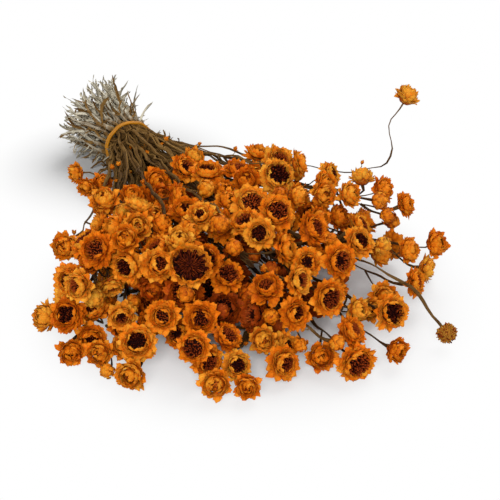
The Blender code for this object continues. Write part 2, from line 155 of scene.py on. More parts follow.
def ring_spots():
    """The stems' places in the band, across and up from its middle, ring by ring."""
    spots = []
    for ring, count in enumerate(STEMS_IN_RINGS):
        for k in range(count):
            turn = 2 * math.pi * (k + 0.5 * (ring % 2)) / count
            spots.append((ring * STEM_PITCH * math.cos(turn), ring * STEM_PITCH * math.sin(turn)))
    return np.array(spots)


def mound_top(distance, turn):
    """How high the heap of flowers is, at a distance from the band and an angle in the fan."""
    return np.interp(distance, *zip(*MOUND)) * math.cos(1.05 * turn)


def fan_at(distance):
    """Half of the fan's angle at a distance from the band: it is slimmer close to the band."""
    return FAN * np.clip(0.52 + 1.9 * distance, 0, 1)


def unit(vector):
    return vector / max(np.linalg.norm(vector), 1e-12)


def bezier(points, shares):
    """Points of the cubic curve through the first and last of four points."""
    a, b, c, d = points
    return [(1 - t) ** 3 * a + 3 * t * (1 - t) ** 2 * b + 3 * t * t * (1 - t) * c + t**3 * d
            for t in shares]


def within_heap(place):
    """The nearest place that is in the fan, above the table and under the top of the heap."""
    distance = np.hypot(*place[:2])
    fan = fan_at(distance)
    turn = np.clip(math.atan2(place[0], -place[1]), -0.86 * fan, fan)
    height = np.clip(place[2], 0.011, mound_top(distance, turn))
    return np.array([distance * math.sin(turn), -distance * math.cos(turn), height])


def facing(ahead, rng):
    """Which way a flower looks: onwards and up, each one a little differently."""
    return unit(0.85 * ahead + np.array([0, 0, 0.55]) + rng.normal(0, 0.33, 3))


def flower_place(spot, rank, rng):
    """Where the flower of a stem comes to lie. Rank: 0 is the top stem, 1 the lowest."""
    across, up = spot / BUNDLE_RADIUS
    width = math.sqrt(max(1 - up * up, 0.03)) ** (0.75 if up < 0 else 0.3)
    turn = FAN * np.clip(across / width + rng.normal(0.18 * rank, 0.06), -1, 1)
    near, far = REACH
    near += 0.10 * (turn / FAN) ** 2 + 0.055 * max(turn, -1.5 * turn) / FAN
    distance = math.sqrt(near**2 + rank**0.65 * (far**2 - near**2)) * rng.uniform(0.95, 1.02)
    distance *= 1 - 0.16 * (turn / FAN) ** 2
    turn *= fan_at(distance) / FAN
    height = mound_top(distance, turn) * (1 - 0.6 * rng.random() ** 2)
    return np.array([distance * math.sin(turn), -distance * math.cos(turn), max(height, 0.011)])


def cut_end_of(spot, rng):
    across = spot[0] * BUTT_FLARE[0] + BUTT_LEAN
    along = BUTT_LENGTH * rng.uniform(0.88, 1.04) + BUTT_SLANT * across
    return np.array([across, along, TIE_HEIGHT + spot[1] * BUTT_FLARE[1]])


def course(spot, flower, rng):
    """A stem's way from the band to its flower: points at STATIONS, the neck and the flower."""
    ahead = unit(flower * (1, 1, 0))
    distance = np.linalg.norm(flower[:2])
    start = np.array([spot[0], 0.0, TIE_HEIGHT + spot[1]])
    neck = flower - NECK * facing(ahead, rng)
    handle = np.array([spot[0] * 0.3, -0.30 * distance, spot[1] * 0.75])
    end = neck - 0.30 * distance * unit(ahead + np.array([0, 0, 0.10]))
    return bezier((start, start + handle, end, neck), STATIONS) + [neck, flower]


def course_by_hand(places):
    """The way of a stem that leaves the heap."""
    line = [np.array([x, -y, z]) for x, y, z in places]
    return line[:-1] + [line[-1] - NECK * unit(line[-1] - line[-2]), line[-1]]


def share_out(spots):
    """What each stem does: {stem: (kind, places of its course, or its flower's place)}."""
    given = {}

    def nearest(across, up):
        far = np.linalg.norm(spots / BUNDLE_RADIUS - (across, up), axis=1)
        far[list(given)] = 9
        return int(np.argmin(far))

    for (across, up, kind), places in (WHIP, SPENT, EARLY):
        given[nearest(across, up)] = (kind, course_by_hand(places))
    for degrees, distance, height, kind in EDGE:
        turn = math.radians(degrees)
        up = math.cos(math.pi * (distance - REACH[0]) / (REACH[1] - REACH[0]))
        up = min(up, height / 0.06) if height > 0.06 else up
        stem = nearest(turn / FAN * math.sqrt(max(1 - up * up, 0.1)), up)
        place = np.array([distance * math.sin(turn), -distance * math.cos(turn), height])
        given[stem] = (kind, place)
    return given


def grow():
    """Every stem, shoot and flower before it is settled.

    points: all places. stems: the point numbers of each stem, from its cut end to its flower.
    shoots: (stem, [fork, neck, flower]). flowers: {point: (radius, kind)}. held: the flowers
    that keep to the places they were given.
    """
    rng = np.random.default_rng(SEED)
    spots = ring_spots()
    lowness = rng.normal(0, 0.0015, len(spots)) - spots[:, 1]
    ranks = np.argsort(np.argsort(lowness)) / (len(spots) - 1)
    given = share_out(spots)
    points, stems, shoots, flowers = [], [], [], {}

    def add(place):
        points.append(np.array(place, float))
        return len(points) - 1

    def add_flower(place, kind=None):
        number = add(place)
        draw = rng.random()
        kind = kind or ("bud" if draw < 0.20 else "half" if draw < 0.48 else "open")
        low, high = FLOWER_RADII[kind]
        nearer = max(0.0, 1 - math.hypot(place[0], place[1]) / REACH[1]) if high > low else 0.0
        radius = low + (high - low) * rng.random() ** 0.8
        flowers[number] = (radius * (1 + NEARER_LARGER * nearer), kind)
        return number

    for i, spot in enumerate(spots):
        tied = np.array([spot[0], 0.0, TIE_HEIGHT + spot[1]])
        cut_end = cut_end_of(spot, rng)
        kind, way = given.get(i, (None, None))
        if way is None:
            way = flower_place(spot, ranks[i], rng)
        if len(way) == 3:
            way = course(spot, way, rng)
        stem = [add(p) for p in (cut_end, (cut_end + tied) / 2, tied, *way[:-1])]
        stem.append(add_flower(way[-1], kind))
        stems.append(stem)
        ahead = unit((way[-1] - way[3]) * (1, 1, 0.4))
        side = unit(np.cross(ahead, (0, 0, 1)))
        spin = rng.uniform(0, 2 * math.pi)
        for k in range(SHOOTS_BY_HAND.get(kind, SIDE_SHOOTS[i % len(SIDE_SHOOTS)])):
            spin += math.radians(137.5)
            length = rng.uniform(*SHOOT_LENGTH) * (0.5 if kind == "early" else 1)
            spread = math.radians(rng.uniform(20, 50))
            out = unit(side * math.cos(spin) + np.array([0, 0, 0.40 + 0.60 * math.sin(spin)]))
            fork = stem[3 + FORKS[k]]
            place = points[fork] + length * (math.cos(spread) * ahead + math.sin(spread) * out)
            place = within_heap(place) if kind != "early" else place
            neck = add(place - NECK * facing(unit(ahead + 0.5 * out), rng))
            flower = add_flower(place, "early" if kind == "early" else None)
            shoots.append((i, [fork, neck, flower]))
    held = [stems[i][-1] for i in given]
    return {"points": np.array(points), "stems": stems, "shoots": shoots, "flowers": flowers,
            "held": held}


def stem_radius(step, steps):
    """A stem's radius at one of its points: full where it is tied, slimmer towards its flower."""
    share = max(0.0, (step - 3) / (steps - 4))
    return STEM_RADIUS + (TIP_RADIUS - STEM_RADIUS) * min(1.0, share)


def parts_of(plant):
    """All that takes up room, as (point, point, radius, stem); a flower's two points are one."""
    rows = []
    for i, stem in enumerate(plant["stems"]):
        rows += [(stem[k], stem[k + 1], stem_radius(k, len(stem)), i) for k in range(len(stem) - 2)]
        rows.append((stem[-2], stem[-1], NECK_ROOM, i))
        rows.append((stem[-1], stem[-1], plant["flowers"][stem[-1]][0], i))
    for i, (fork, neck, flower) in plant["shoots"]:
        rows += [(fork, neck, SHOOT_RADIUS, i), (neck, flower, NECK_ROOM, i)]
        rows.append((flower, flower, plant["flowers"][flower][0], i))
    return rows


def near_pairs(points, rows, own_neck, slack):
    """The pairs of parts that could come to touch."""
    a, b, radius, owner = rows
    start, end = points[a], points[b]
    middle, half = (start + end) / 2, np.linalg.norm(end - start, axis=1) / 2 + radius
    i, j = np.triu_indices(len(a), 1)
    apart = np.linalg.norm(middle[i] - middle[j], axis=1) - half[i] - half[j]
    i, j = i[apart < slack], j[apart < slack]
    flower_i, flower_j = a[i] == b[i], a[j] == b[j]
    same = owner[i] == owner[j]
    neck_i, neck_j = own_neck[a[i]], own_neck[a[j]]
    on_neck = flower_i & ((a[j] == neck_i) | (b[j] == neck_i))
    on_neck |= flower_j & ((a[i] == neck_j) | (b[i] == neck_j))
    keep = ~same | (flower_i & flower_j) | ((flower_i ^ flower_j) & ~on_neck)
    return i[keep], j[keep]


def closest_shares(a0, a1, b0, b1):
    """How far along two lines they come closest, each from 0 to 1."""
    u, v, w = a1 - a0, b1 - b0, a0 - b0
    uu, vv, uv = (u * u).sum(1), (v * v).sum(1), (u * v).sum(1)
    uw, vw = (u * w).sum(1), (v * w).sum(1)
    tiny = 1e-12
    s = np.clip((uv * vw - vv * uw) / np.maximum(uu * vv - uv * uv, tiny), 0, 1)
    t = np.clip((uv * s + vw) / np.maximum(vv, tiny), 0, 1)
    s = np.clip((uv * t - uw) / np.maximum(uu, tiny), 0, 1)
    return s, t


def push_apart(points, rows, pairs, free):
    """Moves the parts that are too close away from each other. Returns the deepest overlap."""
    a, b, radius, _ = rows
    i, j = pairs
    s, t = closest_shares(points[a[i]], points[b[i]], points[a[j]], points[b[j]])
    s, t = s[:, None], t[:, None]
    apart = points[a[i]] * (1 - s) + points[b[i]] * s - points[a[j]] * (1 - t) - points[b[j]] * t
    far = np.linalg.norm(apart, axis=1)
    overlap = radius[i] + radius[j] + GAP - far
    hit = overlap > 0
    if not hit.any():
        return 0.0
    i, j, s, t = i[hit], j[hit], s[hit], t[hit]
    way = np.where(far[hit, None] > 1e-9, apart[hit] / np.maximum(far[hit, None], 1e-9), (0, 0, 1))
    ends = ((a[i], 1 - s, 1), (b[i], s, 1), (a[j], 1 - t, -1), (b[j], t, -1))
    weight = sum(share**2 * free[end, None] for end, share, _ in ends)
    step = overlap[hit, None] * way / np.maximum(weight, 1e-6)
    move, count = np.zeros_like(points), np.full((len(points), 1), 1e-9)
    for end, share, sign in ends:
        np.add.at(move, end, sign * share * step * free[end, None])
        np.add.at(count, end, (share > 0.02) * 1.0)
    points += move / np.maximum(1.0, 0.6 * count)
    return float(overlap.max())


def settle(plant, rounds=260, finish=160):
    """Pushes everything apart for a fixed number of rounds. Stems keep their length and bend
    softly.
    """
    points = plant["points"]
    drawn = points.copy()
    rows = [np.array(column) for column in zip(*parts_of(plant))]
    a, b = rows[0], rows[1]
    free = np.ones(len(points))
    lowest = np.zeros(len(points))
    pull = np.full((len(points), 1), 0.02)
    pull[plant["held"]] = 0.20
    own_neck = np.full(len(points), -1)
    links, bends = [], []
    for stem in plant["stems"]:
        by_hand = plant["flowers"][stem[-1]][1] in ("whip", "spent", "early")
        free[stem if by_hand else stem[:3]] = 0
        links += list(zip(stem[2:-1], stem[3:]))
        bends += [stem[k - 1 : k + 2] for k in range(3, len(stem) - 2)]
        own_neck[stem[-1]] = stem[-2]
    for _, (fork, neck, flower) in plant["shoots"]:
        links += [(fork, neck), (neck, flower)]
        own_neck[flower] = neck
    for first, second, size in zip(a, b, rows[2]):
        lowest[first] = max(lowest[first], size)
        lowest[second] = max(lowest[second], size)
    p, q = np.array(links).T
    length = np.linalg.norm(points[p] - points[q], axis=1)[:, None]
    before, at, after = np.array(bends).T
    for turn in range(rounds + finish):
        if turn % 8 == 0:
            pairs = near_pairs(points, rows, own_neck, 0.008)
        if turn < rounds:
            points += pull * (drawn - points) * free[:, None]
            middle = (points[before] + points[after]) / 2
            points[at] += 0.10 * (middle - points[at]) * free[at, None]
            line = points[q] - points[p]
            now = np.linalg.norm(line, axis=1)[:, None]
            shift = 0.25 * line * (1 - length / np.maximum(now, 1e-9))
            np.add.at(points, p, shift * free[p, None])
            np.add.at(points, q, -shift * free[q, None])
        deepest = push_apart(points, rows, pairs, free)
        points[:, 2] = np.where(free > 0, np.maximum(points[:, 2], lowest), points[:, 2])
    print(f"settled: deepest overlap left {1000 * deepest:.3f} mm")
    return plant


# ---- The plan: the settled bunch, in the frame's own space --------------------------------

PLAN = {}


def bunch_plan():
    """The settled bunch, moved to where the frame's rubber band is. It is worked out once."""
    if not PLAN:
        plant = settle(grow())
        low, high = (np.array(corner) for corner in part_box("rubber_band"))
        plant["points"] += (low + high) / 2 - (0, 0, TIE_HEIGHT)
        PLAN.update(plant)
        PLAN["tie"] = (low + high) / 2
    return PLAN


def node_name(number):
    return f"flowering_stem_{number + 1:02d}"


def smooth_way(points, step):
    """Evenly spaced places on a smooth curve through the points, and how far along each one is."""
    points = np.asarray(points)
    ends = np.vstack([2 * points[0] - points[1], points, 2 * points[-1] - points[-2]])
    fine = []
    for a, b, c, d in zip(ends, ends[1:], ends[2:], ends[3:]):
        for t in np.linspace(0, 1, 12, endpoint=False):
            fine.append(0.5 * (2 * b + (c - a) * t + (2 * a - 5 * b + 4 * c - d) * t * t
                               + (3 * b - a - 3 * c + d) * t**3))
    fine = np.array(fine + [points[-1]])
    run = np.concatenate([[0], np.cumsum(np.linalg.norm(np.diff(fine, axis=0), axis=1))])
    at = np.linspace(0, run[-1], max(3, int(round(run[-1] / step)) + 1))
    return np.stack([np.interp(at, run, fine[:, i]) for i in range(3)], 1), at


def side_ways(axis, rng=None):
    """Two directions square to an axis and to each other."""
    one = np.cross(axis, (0.0, 0.0, 1.0))
    one = unit(one) if np.linalg.norm(one) > 1e-6 else np.array([1.0, 0.0, 0.0])
    two = np.cross(axis, one)
    if rng is not None:
        turn = rng.uniform(0, 2 * math.pi)
        one, two = (one * math.cos(turn) + two * math.sin(turn),
                    two * math.cos(turn) - one * math.sin(turn))
    return one, two


def heads_of(plan, number):
    """(neck, flower, radius, kind) of every flower head on one stem."""
    points, found = plan["points"], []
    for owner, shoot in [(number, plan["stems"][number][-2:])] + plan["shoots"]:
        if owner == number:
            radius, kind = plan["flowers"][shoot[-1]]
            found.append((points[shoot[-2]], points[shoot[-1]], radius, kind))
    return found


# ---- Node trees ----------------------------------------------------------------------------


ON_TABLE = 0.0003  # the lowest that a crumpled point may lie


def add_node(tree, kind, inputs=None, **settings):
    """Adds a node, sets it, and gives its inputs values or joins them to other nodes' outputs."""
    node = tree.nodes.new(kind)
    for name, value in settings.items():
        setattr(node, name, value)
    for key, value in (inputs or {}).items():
        if isinstance(value, bpy.types.NodeSocket):
            tree.links.new(value, node.inputs[key])
        else:
            node.inputs[key].default_value = value
    return node


def calc(tree, operation, *values):
    """The output of a Math node."""
    node = add_node(tree, "ShaderNodeMath", dict(enumerate(values)), operation=operation)
    return node.outputs[0]


def named(tree, name, kind="FLOAT"):
    """The value of a stored attribute, in a geometry tree."""
    return add_node(tree, "GeometryNodeInputNamedAttribute", {"Name": name},
                    data_type=kind).outputs["Attribute"]


def new_geometry_tree(name, sockets):
    """A geometry tree with a mesh going in and out, and named inputs: (name, type, value)."""
    tree = bpy.data.node_groups.new(name, "GeometryNodeTree")
    tree.interface.new_socket("Geometry", in_out="INPUT", socket_type="NodeSocketGeometry")
    tree.interface.new_socket("Geometry", in_out="OUTPUT", socket_type="NodeSocketGeometry")
    for label, kind, value in sockets:
        socket = tree.interface.new_socket(label, in_out="INPUT", socket_type="NodeSocket" + kind)
        if value is not None:
            socket.default_value = value
    return tree, tree.nodes.new("NodeGroupInput").outputs, tree.nodes.new("NodeGroupOutput")


def roughen(tree, geometry, amount, weight, scale, seed):
    """Moves the points by a noise, as far as their weight says, and keeps them off the table."""
    place = add_node(tree, "GeometryNodeInputPosition").outputs[0]
    noise = add_node(tree, "ShaderNodeTexNoise", {"Vector": place, "W": seed, "Scale": scale,
                                                  "Detail": 2.0}, noise_dimensions="4D")
    centred = add_node(tree, "ShaderNodeVectorMath", {0: noise.outputs["Color"], 1: (0.5,) * 3},
                       operation="SUBTRACT").outputs[0]
    shift = add_node(tree, "ShaderNodeVectorMath",
                     {0: centred, "Scale": calc(tree, "MULTIPLY", amount, weight)},
                     operation="SCALE").outputs[0]
    moved = add_node(tree, "GeometryNodeSetPosition", {"Geometry": geometry, "Offset": shift})
    place = add_node(tree, "GeometryNodeInputPosition").outputs[0]
    split = add_node(tree, "ShaderNodeSeparateXYZ", {0: place}).outputs
    lifted = add_node(tree, "ShaderNodeCombineXYZ",
                      {0: split[0], 1: split[1], 2: calc(tree, "MAXIMUM", split[2], ON_TABLE)})
    return add_node(tree, "GeometryNodeSetPosition",
                    {"Geometry": moved.outputs[0], "Position": lifted.outputs[0]}).outputs[0]


def finish_tree(tree, geometry, out, material):
    """Ends a geometry tree: smooth, real geometry with its material."""
    smooth = add_node(tree, "GeometryNodeSetShadeSmooth", {"Geometry": geometry})
    real = add_node(tree, "GeometryNodeRealizeInstances", {"Geometry": smooth.outputs[0]})
    done = add_node(tree, "GeometryNodeSetMaterial",
                    {"Geometry": real.outputs[0], "Material": material})
    tree.links.new(done.outputs[0], out.inputs[0])


def follow_tree():
    """Lays a winged, ragged-edged stalk along every line of edges.

    The lines' points carry girth (metres), turn (radians) and what the finish reads.
    """
    tree, given, out = new_geometry_tree("follow stalks", (
        ("Corners", "Int", 8), ("Wing width", "Float", 1.15), ("Thickness", "Float", 0.6),
        ("Raggedness", "Float", 0.5), ("Ragged scale", "Float", 260.0), ("Seed", "Float", 0.0),
        ("Finish", "Material", None)))
    curve = add_node(tree, "GeometryNodeMeshToCurve", {"Mesh": given["Geometry"]}).outputs[0]
    curve = add_node(tree, "GeometryNodeSetCurveTilt",
                     {"Curve": curve, "Tilt": named(tree, "turn")}).outputs[0]
    circle = add_node(tree, "GeometryNodeCurvePrimitiveCircle",
                      {"Resolution": given["Corners"], "Radius": 1.0}).outputs[0]
    place = add_node(tree, "GeometryNodeInputPosition").outputs[0]
    across = add_node(tree, "ShaderNodeSeparateXYZ", {0: place}).outputs[0]
    circle = add_node(tree, "GeometryNodeStoreNamedAttribute",
                      {"Geometry": circle, "Name": "lane", "Value": across},
                      data_type="FLOAT", domain="POINT").outputs[0]
    breadth = add_node(tree, "ShaderNodeCombineXYZ",
                       {0: given["Wing width"], 1: given["Thickness"], 2: 1.0}).outputs[0]
    profile = add_node(tree, "GeometryNodeTransform", {"Geometry": circle, "Scale": breadth})
    tube = add_node(tree, "GeometryNodeCurveToMesh",
                    {"Curve": curve, "Profile Curve": profile.outputs[0],
                     "Scale": named(tree, "girth"), "Fill Caps": True}).outputs[0]
    edge = calc(tree, "POWER", calc(tree, "ABSOLUTE", named(tree, "lane")), 3.0)
    weight = calc(tree, "MULTIPLY", edge, named(tree, "girth"))
    ragged = roughen(tree, tube, given["Raggedness"], weight, given["Ragged scale"],
                     given["Seed"])
    finish_tree(tree, ragged, out, given["Finish"])
    return tree


def scatter_tree():
    """Puts one of a collection's forms at every point, and crinkles them towards their tips.

    The points carry form (which one), aim (its turn), size and shade.
    """
    tree, given, out = new_geometry_tree("scatter forms", (
        ("Forms", "Collection", None), ("Crinkle", "Float", 0.001),
        ("Crinkle scale", "Float", 300.0), ("Seed", "Float", 0.0), ("Finish", "Material", None)))
    forms = add_node(tree, "GeometryNodeCollectionInfo",
                     {"Collection": given["Forms"], "Separate Children": True,
                      "Reset Children": True}).outputs[0]
    turn = add_node(tree, "FunctionNodeEulerToRotation",
                    {0: named(tree, "aim", "FLOAT_VECTOR")}).outputs[0]
    placed = add_node(tree, "GeometryNodeInstanceOnPoints",
                      {"Points": given["Geometry"], "Instance": forms, "Pick Instance": True,
                       "Instance Index": named(tree, "form", "INT"), "Rotation": turn,
                       "Scale": named(tree, "size", "FLOAT_VECTOR")}).outputs[0]
    real = add_node(tree, "GeometryNodeRealizeInstances", {"Geometry": placed}).outputs[0]
    crinkled = roughen(tree, real, given["Crinkle"], named(tree, "run"),
                       given["Crinkle scale"], given["Seed"])
    finish_tree(tree, crinkled, out, given["Finish"])
    return tree


def grown_mesh(name, mesh, tree, inputs):
    """The plain mesh that a geometry tree makes out of a mesh of points or lines."""
    helper = bpy.data.objects.new(name, mesh)
    bpy.context.scene.collection.objects.link(helper)
    modifier = helper.modifiers.new(tree.name, "NODES")
    modifier.node_group = tree
    for item in tree.interface.items_tree:
        if item.in_out == "INPUT" and item.name in inputs:
            modifier[item.identifier] = inputs[item.name]
    bpy.context.view_layer.update()
    graph = bpy.context.evaluated_depsgraph_get()
    plain = bpy.data.meshes.new_from_object(helper.evaluated_get(graph))
    helper.modifiers.clear()
    bpy.data.objects.remove(helper)
    bpy.data.meshes.remove(mesh)
    plain.name = name
    return plain


def show(name, mesh, slot, *nodes):
    """Puts a finished mesh in the scene as a piece that stands for frame nodes."""
    for old in [o for o in bpy.data.objects if o.name == name]:
        bpy.data.objects.remove(old)
    piece = bpy.data.objects.new(name, mesh)
    bpy.context.scene.collection.objects.link(piece)
    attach(piece, "root")
    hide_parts(*nodes)
    return piece


def marked_mesh(name, places, edges, faces, marks):
    """A mesh with attributes on its points: {name: values}, numbers or triples."""
    mesh = bpy.data.meshes.new(name)
    mesh.from_pydata([tuple(p) for p in places], edges, faces)
    for label, values in marks.items():
        values = np.asarray(values)
        triples = values.ndim == 2
        kind = "FLOAT_VECTOR" if triples else "INT" if values.dtype.kind == "i" else "FLOAT"
        attribute = mesh.attributes.new(label, kind, "POINT")
        attribute.data.foreach_set("vector" if triples else "value", values.ravel())
    return mesh


# ---- Forms that are repeated --------------------------------------------------------------


BEND_GROWTH = 1.2  # a blade bends ever more towards its tip: the power of the way along it


def blade_form(name, widths, tips, bend, cup=0.0, twist=0.0, thick=0.02, fold=0.0, ragged=0.0,
               seed=0):
    """A closed, thin blade one unit long: a bract, a scale or a leaf.

    It grows along Y from the origin and its upper face looks along Z. widths are (share of the
    length, half width) from its foot up; tips are how far its last row reaches, from one edge to
    the other. bend is how far its tip curls towards Z, in radians; cup lifts its edges; ragged is
    how uneven its sides are, as a share of its width.
    """
    rng = np.random.default_rng(seed)
    rows, lanes = len(widths), len(tips) - 1
    place = np.zeros(2)
    upper, marks = [], []
    for r, (share, half) in enumerate(widths):
        if r:
            before = widths[r - 1][0]
            stride = share - before
            angle = bend * ((share + before) / 2) ** BEND_GROWTH
            place = place + stride * np.array([math.cos(angle), math.sin(angle)])
        angle = bend * share**BEND_GROWTH
        out = np.array([0.0, -math.sin(angle), math.cos(angle)])
        on = np.array([0.0, math.cos(angle), math.sin(angle)])
        spin = twist * share
        across = np.array([math.cos(spin), 0.0, 0.0]) + math.sin(spin) * out
        lift = math.cos(spin) * out - np.array([math.sin(spin), 0.0, 0.0])
        sides = 1 + ragged * rng.uniform(-1, 1, 2)
        for k in range(lanes + 1):
            lane = 2 * k / lanes - 1
            wide = half * sides[int(lane > 0)]
            reach = (tips[k] - share) if r == rows - 1 else 0.0
            rise = cup * wide * lane * lane + fold * wide * abs(lane)
            upper.append(np.array([0.0, *place]) + wide * lane * across + rise * lift + reach * on)
            marks.append((max(share, tips[k]) if r == rows - 1 else share, lane, lift))
    count = len(upper)
    rim = {r * (lanes + 1) + k for r in range(rows) for k in range(lanes + 1)
           if r in (0, rows - 1) or k in (0, lanes)}
    places, under = list(upper), {}
    for i in range(count):
        if i in rim:
            under[i] = i
        else:
            under[i] = len(places)
            places.append(upper[i] - thick * marks[i][2])
            marks.append(marks[i])
    faces = []
    for r in range(rows - 1):
        for k in range(lanes):
            a = r * (lanes + 1) + k
            quad = (a, a + 1, a + lanes + 2, a + lanes + 1)
            faces += [quad, tuple(under[i] for i in reversed(quad))]
    runs, lane_marks, _ = zip(*marks)
    mesh = marked_mesh(name, places, [], faces, {"run": runs, "lane": lane_marks})
    keen = mesh.attributes.new("sharp_edge", "BOOLEAN", "EDGE")
    keen.data.foreach_set("value", [rim.issuperset(edge.vertices) for edge in mesh.edges])
    return mesh


def round_form(name, profile, sides, twist=0.0):
    """A closed solid of revolution about Z: (height, radius, run) from its bottom pole up."""
    places, runs, rings = [], [], []
    for k, (height, radius, run) in enumerate(profile):
        count = sides if radius > 0 else 1
        ring = []
        for s in range(count):
            turn = 2 * math.pi * s / sides + twist * k
            ring.append(len(places))
            places.append((radius * math.cos(turn), radius * math.sin(turn), height))
            runs.append(run)
        rings.append(ring)
    faces = []
    for low, high in zip(rings, rings[1:]):
        for s in range(sides):
            t = (s + 1) % sides
            if len(low) == 1:
                faces.append((low[0], high[t], high[s]))
            elif len(high) == 1:
                faces.append((low[s], low[t], high[0]))
            else:
                faces.append((low[s], low[t], high[t], high[s]))
    return marked_mesh(name, places, [], faces, {"run": runs, "lane": np.zeros(len(places))})


CURLS = (1.75, 0.95, 0.35, -0.55)  # of a bract: shut, incurved, straight, bent back
BRACT_OUTLINE = ((0, 0.30), (0.36, 0.50), (0.70, 0.49), (0.89, 0.34))
TORN_TIPS = ((0.84, 1.00, 0.96, 1.10, 0.82), (0.80, 0.94, 1.13, 0.97, 0.82),
             (0.88, 1.07, 0.94, 1.05, 0.84), (0.82, 0.97, 1.08, 1.00, 0.78))
SCALE_OUTLINE = ((0, 0.30), (0.40, 0.50), (0.78, 0.34))
SCALE_TIPS = ((0.80, 1.02, 0.84), (0.90, 1.0, 0.80))
LEAF_WIDTH = 0.11  # of a leaf, as a share of its length
LEAF_OUTLINE = tuple((share, half * LEAF_WIDTH) for share, half in (
    (0, 0.30), (0.14, 0.44), (0.30, 0.50), (0.46, 0.50), (0.62, 0.46), (0.78, 0.40), (0.92, 0.28)))
LEAF_TIPS = ((0.90, 1.0, 0.94), (1.02, 0.90, 0.98), (0.88, 0.96, 1.04))
LEAF_BENDS = ((0.5, 0.8, 0.6), (-0.8, 1.7, 0.9), (1.2, -1.5, 0.7), (-0.4, 2.8, 0.9),
              (2.1, 2.1, 1.0))  # how far a leaf curls, twists and folds


def template_collection():
    """All the forms that are repeated, in the order that FORMS counts them in."""
    meshes = []
    for curl in CURLS:
        for number, tips in enumerate(TORN_TIPS):
            meshes.append(blade_form("bract", BRACT_OUTLINE, tips, curl, cup=0.34, thick=0.03,
                                     ragged=0.14, seed=number))
    for tips in SCALE_TIPS:
        meshes.append(blade_form("scale", SCALE_OUTLINE, tips, 0.5, cup=0.35, thick=0.06))
    meshes.append(round_form("core", ((-1, 0, 0), (-0.8, 0.6, 0), (-0.2, 1, 0.2), (0.5, 0.86, 0.4),
                                      (0.9, 0.4, 0.5), (1, 0, 0.5)), 8))
    meshes.append(round_form("floret", ((-0.5, 0, 0), (0.35, 0.42, 0.35), (0.85, 0.32, 0.9),
                                        (1.05, 0, 1.0)), 5, twist=0.3))
    meshes.append(blade_form("strand", ((0, 0.5), (0.5, 0.6), (0.85, 0.4)), (0.9, 1.0, 0.9), 0.45,
                             cup=-0.6, thick=0.5))
    for number, (bend, twist, fold) in enumerate(LEAF_BENDS):
        meshes.append(blade_form("leaf", LEAF_OUTLINE, LEAF_TIPS[number % len(LEAF_TIPS)], bend,
                                 twist=twist, fold=fold, thick=0.012, ragged=0.35, seed=number))
    forms = bpy.data.collections.new("forms")
    for number, mesh in enumerate(meshes):
        forms.objects.link(bpy.data.objects.new(f"form_{number:02d}", mesh))
    return forms


FORMS = {"bract": 0, "scale": 16, "core": 18, "floret": 19, "strand": 20, "leaf": 21}


def clear_templates(forms):
    for obj in list(forms.objects):
        mesh = obj.data
        bpy.data.objects.remove(obj)
        bpy.data.meshes.remove(mesh)
    bpy.data.collections.remove(forms)


class Places:
    """Where the repeated forms of one piece go."""

    def __init__(self):
        self.rows = []

    def put(self, form, place, along, face, size, shade, wool=0.0):
        """Puts a form at a place, growing along one direction, its upper face to another."""
        along = unit(np.asarray(along, float))
        across = unit(np.cross(along, face))
        turn = Matrix(np.array([across, along, np.cross(across, along)]).T.tolist())
        self.rows.append((place, form, tuple(turn.to_euler()), size, shade, wool))

    def mesh(self, name):
        places, form, aim, size, shade, wool = zip(*self.rows)
        return marked_mesh(name, places, [], [], {
            "form": np.array(form, dtype="int32"), "aim": aim, "size": np.array(size, float),
            "shade": np.array(shade, float), "wool": np.array(wool, float)})


# ---- Flower heads --------------------------------------------------------------------------

# Rows of bracts from the disc outwards: (how many, how far out and how far forward their feet
# are, degrees between them and the flower's axis, length, width, curl). Lengths are shares of
# the head's radius. A row with "scale" for a curl is made of the short scales at the back.
ROWS = {
    "open": ((12, 0.55, 0.08, 24, 0.33, 0.42, 1), (13, 0.56, 0.02, 42, 0.46, 0.46, 1),
             (14, 0.55, -0.08, 58, 0.54, 0.48, 1), (14, 0.52, -0.19, 75, 0.59, 0.50, 2),
             (12, 0.48, -0.30, 91, 0.57, 0.50, 2), (7, 0.36, -0.44, 66, 0.42, 0.40, "scale")),
    "half": ((6, 0.36, 0.26, 4, 0.44, 0.40, 1), (9, 0.46, 0.18, 12, 0.54, 0.46, 1),
             (11, 0.54, 0.06, 27, 0.58, 0.49, 1), (12, 0.58, -0.10, 44, 0.58, 0.50, 1),
             (11, 0.56, -0.24, 62, 0.58, 0.48, 2), (8, 0.46, -0.36, 76, 0.50, 0.48, 2),
             (6, 0.34, -0.50, 52, 0.36, 0.38, "scale")),
    "bud": ((5, 0.42, 0.56, -50, 0.58, 0.54, 1), (7, 0.66, 0.34, -30, 0.64, 0.54, 1),
            (8, 0.78, 0.08, -10, 0.66, 0.56, 1), (8, 0.78, -0.20, 10, 0.60, 0.56, 1),
            (7, 0.66, -0.42, 36, 0.50, 0.52, 2), (5, 0.42, -0.60, 56, 0.36, 0.46, "scale")),
    "giant": ((20, 0.78, 0.05, 30, 0.22, 0.28, 1), (20, 0.76, 0.00, 52, 0.28, 0.32, 1),
              (19, 0.72, -0.09, 70, 0.34, 0.34, 1), (17, 0.66, -0.18, 86, 0.36, 0.36, 2),
              (12, 0.54, -0.28, 98, 0.36, 0.36, 2), (8, 0.36, -0.40, 66, 0.32, 0.30, "scale")),
}
ROWS["whip"] = ROWS["half"]
ROWS["early"] = ROWS["half"]
# The solid heart of a head, which the bracts sit on: (how far forward, half width, half height).
CORES = {"open": (-0.32, 0.52, 0.20), "half": (-0.26, 0.56, 0.36), "bud": (-0.06, 0.66, 0.70),
         "giant": (-0.30, 0.64, 0.20), "whip": (-0.26, 0.56, 0.36), "early": (-0.26, 0.56, 0.36),
         "spent": (0.0, 0.80, 0.80)}
